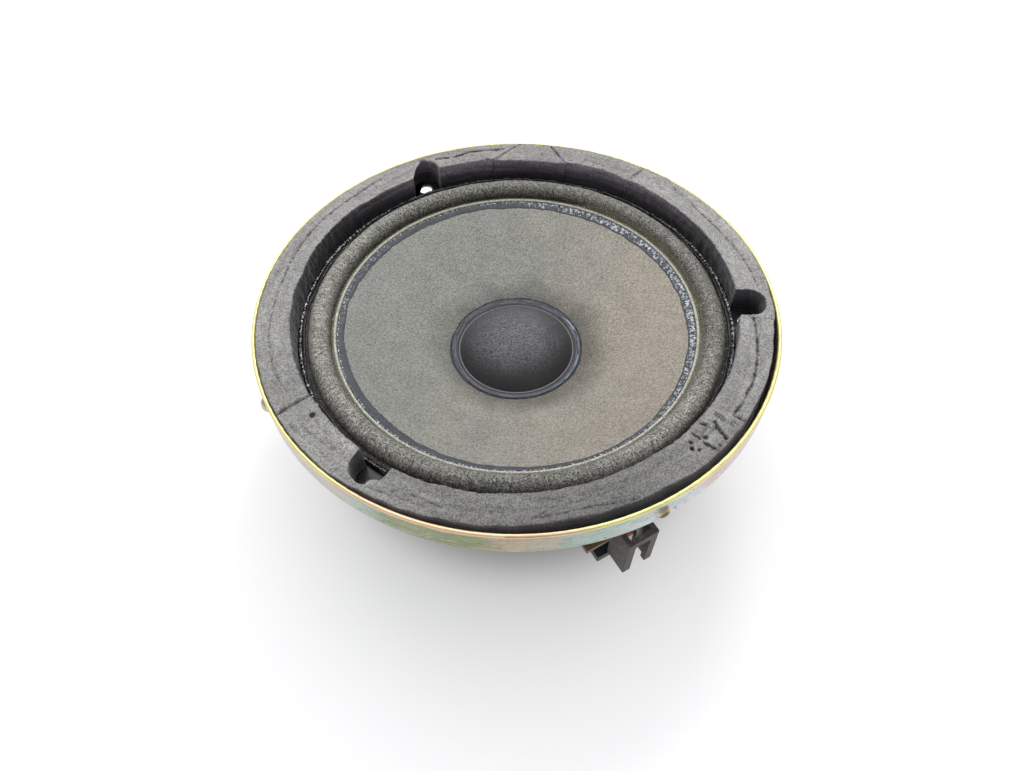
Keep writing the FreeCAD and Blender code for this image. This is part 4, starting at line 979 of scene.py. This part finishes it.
def make_cone_adhesive(material):
    """The adhesive inside the surround's lip: a dull film, ridged where it is thick, and a thin glossy edge.
    Highlights are painted on its glossy ridges and in dashes along the edge.
    """
    columns, rows = 1800, 22
    angle = np.linspace(0, TURN, columns, endpoint=False)
    ring = polar(57.0, angle, 0.0)
    inner = round_interpolate(angle, GLUE_INNER) + layered_noise(ring, 601, (0.10, 6.0), (0.05, 1.6))
    outer = 58.74 + 0.02 * smooth_noise(ring, 3.0, 603)
    share = np.linspace(0, 1, rows)
    radius = inner[:, None] + (outer - inner)[:, None] * share[None]
    angles = np.broadcast_to(angle[:, None], radius.shape)
    ground = np.minimum(cone_height(radius), CONE_TOP)
    ridge_place = np.stack([radius * 0.35, np.radians(angles) * 57.0, 0 * radius], -1)
    ridges = layered_noise(ridge_place, 605, (1.0, 1.5), (0.6, 0.8))
    patch = 0.5 + 0.5 * np.clip(smooth_noise(polar(radius, angles, ground), 14.0, 604), -1, 1)
    wet_and_painted_glint = round_interpolate(angle, GLUE_WET_AND_GLINT)[:, None] * (0.55 + 0.45 * patch)

    def edge(width):
        return np.exp(-((radius - EDGE_BEAD_RADIUS) / width) ** 2)

    swell = np.exp(-((share - 0.52) / 0.26) ** 2) * (0.12 + 0.16 * ridges)
    beading = 0.10 * smooth_noise(ring, 1.3, 607)[:, None] * edge(0.2)
    body = 0.06 + 0.04 * np.sin(np.pi * share) + 0.30 * edge(0.17) + wet_and_painted_glint * swell + beading
    body = np.maximum(body, 0.03)
    body[:, 0], body[:, -1] = 0.02, 0.06
    upper = polar(radius, angles, ground + body)
    step = rows // 5
    lower = polar(radius[:, ::-step], angles[:, ::-step], ground[:, ::-step] + 0.012)[:, 1:-1]
    # Painted highlights: streaks on the glossy ridges and dashes along the edge bead.
    dashes = np.clip(0.5 + 0.9 * smooth_noise(ring, 2.2, 608), 0, 1)[:, None]
    painted_streaks = 1.5 * wet_and_painted_glint * np.clip((share - 0.12) / 0.12, 0, 1) * np.clip(0.9 + 0.5 * ridges, 0, 1)
    painted_shine = np.clip(painted_streaks + edge(0.22) * (0.35 + 0.65 * dashes), 0, 1)
    painted_shine = np.concatenate([painted_shine, np.zeros(lower.shape[:2])], 1)[:, ::-1]
    piece = grid_object("adhesive_ring_cone", np.concatenate([upper, lower], 1)[:, ::-1], material,
                        wrap_along=True, wrap_across=True, attributes={"wet_and_painted_glint": painted_shine})
    stand_for(piece, "moving_assembly", "cone_adhesive", "cone_edge_adhesive")


# ---------------------------------------------------------------- dust cap

def make_dust_cap():
    edge = float(cone_height(CAP_RADIUS)) + 0.05
    sphere = (CAP_RADIUS ** 2 + CAP_HEIGHT ** 2) / (2 * CAP_HEIGHT)

    def dome(radii, lift):
        return [(r, edge + lift + math.sqrt(sphere ** 2 - r ** 2) - (sphere - CAP_HEIGHT)) for r in radii]

    def flange(radii, lift):
        return [(r, float(cone_height(r)) + lift) for r in radii]

    outline = dome(np.linspace(0.35, CAP_RADIUS - 0.55, 60), CAP_SHEET)
    outline += [(CAP_RADIUS + out, edge + up) for out, up in CAP_BEND]
    outline += flange((CAP_RADIUS + 0.3, *np.linspace(CAP_RADIUS + 0.6, CAP_FLANGE - 0.15, 8)), CAP_SHEET)
    outline += [(CAP_FLANGE - 0.02, float(cone_height(CAP_FLANGE)) + CAP_SHEET * 0.7)]
    outline += flange((CAP_FLANGE, CAP_RADIUS), 0.05) + dome(np.linspace(CAP_RADIUS - 0.6, 0.35, 20), 0.0)

    def shift(radius, height, angle):
        swell = layered_noise(polar(radius, angle, height), 701, (0.05, 9.0), (0.012, 1.4))
        return radius, height + swell * np.clip(radius / 4, 0, 1) * np.clip((CAP_RADIUS - radius) / 2, 0, 1)

    radius, height, angle = turned(outline, 300, shift)
    piece = closed_dome("dust_cap_dome", polar(radius, angle, height), cap_cloth())
    stand_for(piece, "moving_assembly", "cap_cloth", "dust_cap")


def closed_dome(name, points, material):
    """A dome whose section runs from the middle of its top, round its edge, to the middle below."""
    columns, rows = points.shape[:2]
    index = np.arange(columns * rows).reshape(columns, rows)
    after = np.roll(index, -1, axis=0)
    faces = np.stack([index[:, :-1], index[:, 1:], after[:, 1:], after[:, :-1]], -1).reshape(-1, 4).tolist()
    centres = [points[:, 0].mean(0) + np.array([0, 0, 0.001]), points[:, -1].mean(0)]
    top, low = columns * rows, columns * rows + 1
    faces += [[top, int(index[k, 0]), int(after[k, 0])] for k in range(columns)]
    faces += [[low, int(after[k, -1]), int(index[k, -1])] for k in range(columns)]
    return mesh_object(name, np.concatenate([points.reshape(-1, 3), centres]), faces, material)


def make_cap_adhesive(material):
    """The uneven line of adhesive round the dust cap's flange."""
    columns, rows = 900, 9
    angle = np.linspace(0, TURN, columns, endpoint=False)
    width = 0.42 + layered_noise(polar(22.8, angle, 0.0), 801, (0.08, 6.0), (0.03, 1.5))
    share = np.linspace(0, 1, rows)
    radius = CAP_FLANGE + 0.04 + np.clip(width, 0.25, 1.2)[:, None] * share[None]
    angles = np.broadcast_to(angle[:, None], radius.shape)
    ground = cone_height(radius)
    bead = 0.32 * np.sin(np.pi * np.clip(share, 0.04, 0.97)) ** 0.8 + 0.12 * (1 - share)
    lumps = 0.05 * smooth_noise(polar(radius, angles, ground), 1.1, 803) * np.sin(np.pi * share)
    upper = polar(radius, angles, ground + 0.03 + bead + lumps)
    lower = polar(radius[:, ::-2], angles[:, ::-2], ground[:, ::-2] + 0.01)
    piece = grid_object("adhesive_line_cap", np.concatenate([upper, lower], 1)[:, ::-1], material,
                        wrap_along=True, wrap_across=True)
    stand_for(piece, "moving_assembly", "cone_adhesive", "dust_cap_adhesive")


# ---------------------------------------------------------------- spider and leads

SPIDER_INNER = 13.15
SPIDER_FLAT = 33.8
SPIDER_WAVES = 5.5
SPIDER_HALF_SHEET = 0.18

TERMINAL_ANGLE = -57.6
LEAD_V = {"positive": -8.2, "negative": -4.4}
LEAD_MIDDLE = -6.3
PAD_RADIUS = 27.0
LEAD_RADIUS = 0.54
LEAD_STEP = 0.12
BRAID_PITCH = 3.2


def make_spider():
    low, high = bottom_of("spider"), top_of("spider")
    radii = np.linspace(SPIDER_INNER, reach_of("spider"), 120)
    along = radii - SPIDER_INNER
    ripple = np.cos(along / (SPIDER_FLAT - SPIDER_INNER) * 2 * np.pi * SPIDER_WAVES)
    ripple *= (high - low) / 2 - 0.2
    fade = np.clip(along / 1.5, 0, 1) * np.clip(SPIDER_FLAT - radii, 0, 1)
    heights = (low + high) / 2 + ripple * fade
    outline = [(r, h + SPIDER_HALF_SHEET) for r, h in zip(radii, heights)]
    outline += [(r, h - SPIDER_HALF_SHEET) for r, h in zip(radii[::-1], heights[::-1])]
    piece = turned_ring("corrugated_spider", outline, spider_cloth(), 240)
    radial_blend(piece, "spider")


def lead_route(v):
    """The lead's corner points in millimetres, from the pad on the cone to the solder on the blade."""
    side = 1 if v > LEAD_MIDDLE else -1
    angle = math.atan2(v - LEAD_MIDDLE, PAD_RADIUS)
    pad_u, pad_v = PAD_RADIUS * math.cos(angle), PAD_RADIUS * math.sin(angle)
    local = [(pad_u + 0.55, pad_v, float(cone_height(PAD_RADIUS)) - CONE_SHEET - 2.1),
             (32.5, pad_v + 0.6 * side - 1.0, -17.2), (41.0, v + 4.6 + 0.8 * side, -18.6),
             (50.5, v + 2.2, -17.4), (59.5, v + 0.8, -13.2), (66.0, v, -10.9), (69.65, v, -12.05)]
    return [(*spun(u, w, TERMINAL_ANGLE), z) for u, w, z in local]


def spline_points(route, name):
    """Points along the smooth line that the route's corners steer."""
    curve = bpy.data.curves.new(name, "CURVE")
    curve.dimensions = "3D"
    curve.resolution_u = 16
    spline = curve.splines.new("NURBS")
    spline.points.add(len(route) - 1)
    for point, place in zip(spline.points, route):
        point.co = (*(part * MM for part in place), 1.0)
    spline.order_u = 3
    spline.use_endpoint_u = True
    holder = bpy.data.objects.new(name, curve)
    line = bpy.data.meshes.new_from_object(holder)
    points = np.array([vertex.co for vertex in line.vertices]) / MM
    bpy.data.objects.remove(holder)
    bpy.data.curves.remove(curve)
    return points


def make_lead(name, v, material):
    """A braided copper lead: strands that cross on the surface of a tube."""
    line = spline_points(lead_route(v), "lead_line_" + name)
    travelled = np.concatenate([[0], np.cumsum(np.linalg.norm(np.diff(line, axis=0), axis=1))])
    stations = np.linspace(0, travelled[-1], int(travelled[-1] / LEAD_STEP))
    centre = np.stack([np.interp(stations, travelled, line[:, k]) for k in range(3)], -1)
    tangent = np.gradient(centre, axis=0)
    tangent /= np.linalg.norm(tangent, axis=1)[:, None]
    side = np.cross(tangent, np.array([0, 0, 1.0]))
    side /= np.linalg.norm(side, axis=1)[:, None]
    upward = np.cross(side, tangent)
    around = np.radians(np.linspace(0, TURN, 20, endpoint=False))
    twist = stations[:, None] * 2 * np.pi / BRAID_PITCH
    braid = np.sin(3 * (around[None] + twist)) * np.sin(3 * (around[None] - twist))
    offset = np.cos(around)[None, :, None] * side[:, None] + np.sin(around)[None, :, None] * upward[:, None]
    points = centre[:, None] + (LEAD_RADIUS + 0.05 * braid)[..., None] * offset
    piece = grid_object("lead_" + name, points, material, wrap_across=True, caps=True)
    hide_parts("tinsel_lead_" + name)
    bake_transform(piece)


# ---------------------------------------------------------------- CAD nodes that keep their shape

def paint_nodes():
    steel = chromated_steel("chromated_steel")
    rivet = plain_steel("rivet_steel", (0.62, 0.60, 0.55))
    plate = chromated_steel("plate_steel")
    brass = plain_steel("tinned_brass", (0.70, 0.68, 0.60))
    solder = plain_steel("solder", (0.60, 0.60, 0.61))
    black = black_glue("magnet_glue")
    blue = bpy.data.materials["cone_adhesive"]
    choices = {
        "basket": steel, "basket_rivets": rivet, "terminal_rivets": rivet,
        "top_plate": plate, "back_plate": plate, "pole_piece": plate,
        "magnet_ring": ferrite(), "magnet_adhesive": black,
        "vent_mesh": woven_metal("mesh_cloth", (0.10, 0.10, 0.10), 0.6),
        "cone_neck_adhesive": blue, "lead_pads": blue,
        "voice_coil_former": coil_former(), "voice_coil_winding": wound_copper(),
        "coil_leadout_wires": wound_copper(),
        "terminal_board": phenolic_board(),
        "connector_shroud": moulded_plastic("shroud_plastic", (0.105, 0.088, 0.080), 0.55),
        "terminal_block": moulded_plastic("block_plastic", (0.040, 0.047, 0.056), 0.42),
        "solder_joints": solder, "blade_positive": brass, "blade_negative": brass,
        "positive_sleeve": moulded_plastic("red_sleeve", (0.52, 0.085, 0.075), 0.4),
    }
    for node, material in choices.items():
        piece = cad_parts[node]
        piece.data.materials.clear()
        piece.data.materials.append(material)


# ---------------------------------------------------------------- studio

FLOOR_HALF = 3000.0


def make_floor():
    corners = [(x * FLOOR_HALF, y * FLOOR_HALF, FLOOR_Z) for x, y in ((-1, -1), (1, -1), (1, 1), (-1, 1))]
    mesh_object("floor", corners, [(0, 1, 2, 3)], studio_floor())


def area_light(name, place, aim, size, power):
    data = bpy.data.lights.new(name, "AREA")
    data.shape = "RECTANGLE"
    data.size, data.size_y = size
    data.energy = power
    lamp = new_object(name, data)
    lamp.location = place
    lamp.rotation_euler = (Vector(aim) - Vector(place)).to_track_quat("-Z", "Y").to_euler()


def make_lights():
    world = bpy.data.worlds.new("studio")
    bpy.context.scene.world = world
    world.use_nodes = True
    background = world.node_tree.nodes["Background"]
    background.inputs["Color"].default_value = (1.0, 1.0, 1.0, 1.0)
    background.inputs["Strength"].default_value = 0.38
    area_light("overhead_softbox", (0.0, 0.20, 1.2), (0, 0, 0), (1.8, 1.5), 11.0)
    area_light("near_softbox", (-0.10, 0.36, 0.40), (0, 0.02, 0), (0.55, 0.32), 0.95)
    area_light("window", (0.25, 1.0, 1.0), (0, 0, 0), (0.32, 0.28), 3.6)


def make_camera():
    data = bpy.data.cameras.new("camera")
    data.lens = LENS
    data.sensor_width = SENSOR
    data.clip_start = 0.005
    camera = new_object("camera", data)
    place = Vector(CAMERA_OFFSET) + Vector((0, 0, LIP_TOP))
    turn = Matrix.Rotation(math.radians(CAMERA_TURN), 4, "Z")
    tilt = Matrix.Rotation(math.radians(90 - CAMERA_TILT), 4, "X")
    roll = Matrix.Rotation(math.radians(CAMERA_ROLL), 4, "Z")
    camera.matrix_world = Matrix.Translation(place * MM) @ turn @ tilt @ roll
    bpy.context.scene.camera = camera


make_camera()
make_lights()
make_floor()
bpy.context.scene.view_settings.view_transform = "Standard"

black_adhesive = black_glue("black_adhesive")
cone_adhesive = cone_glue()
make_gasket()
make_surround()
make_surround_adhesive(black_adhesive)
make_cone()
make_cone_adhesive(cone_adhesive)
make_dust_cap()
make_cap_adhesive(cone_adhesive)
make_spider()
lead_copper = woven_metal("tinsel_braid", (0.62, 0.34, 0.19), 0.35)
for lead_name, lead_v in LEAD_V.items():
    make_lead(lead_name, lead_v, lead_copper)
paint_nodes()
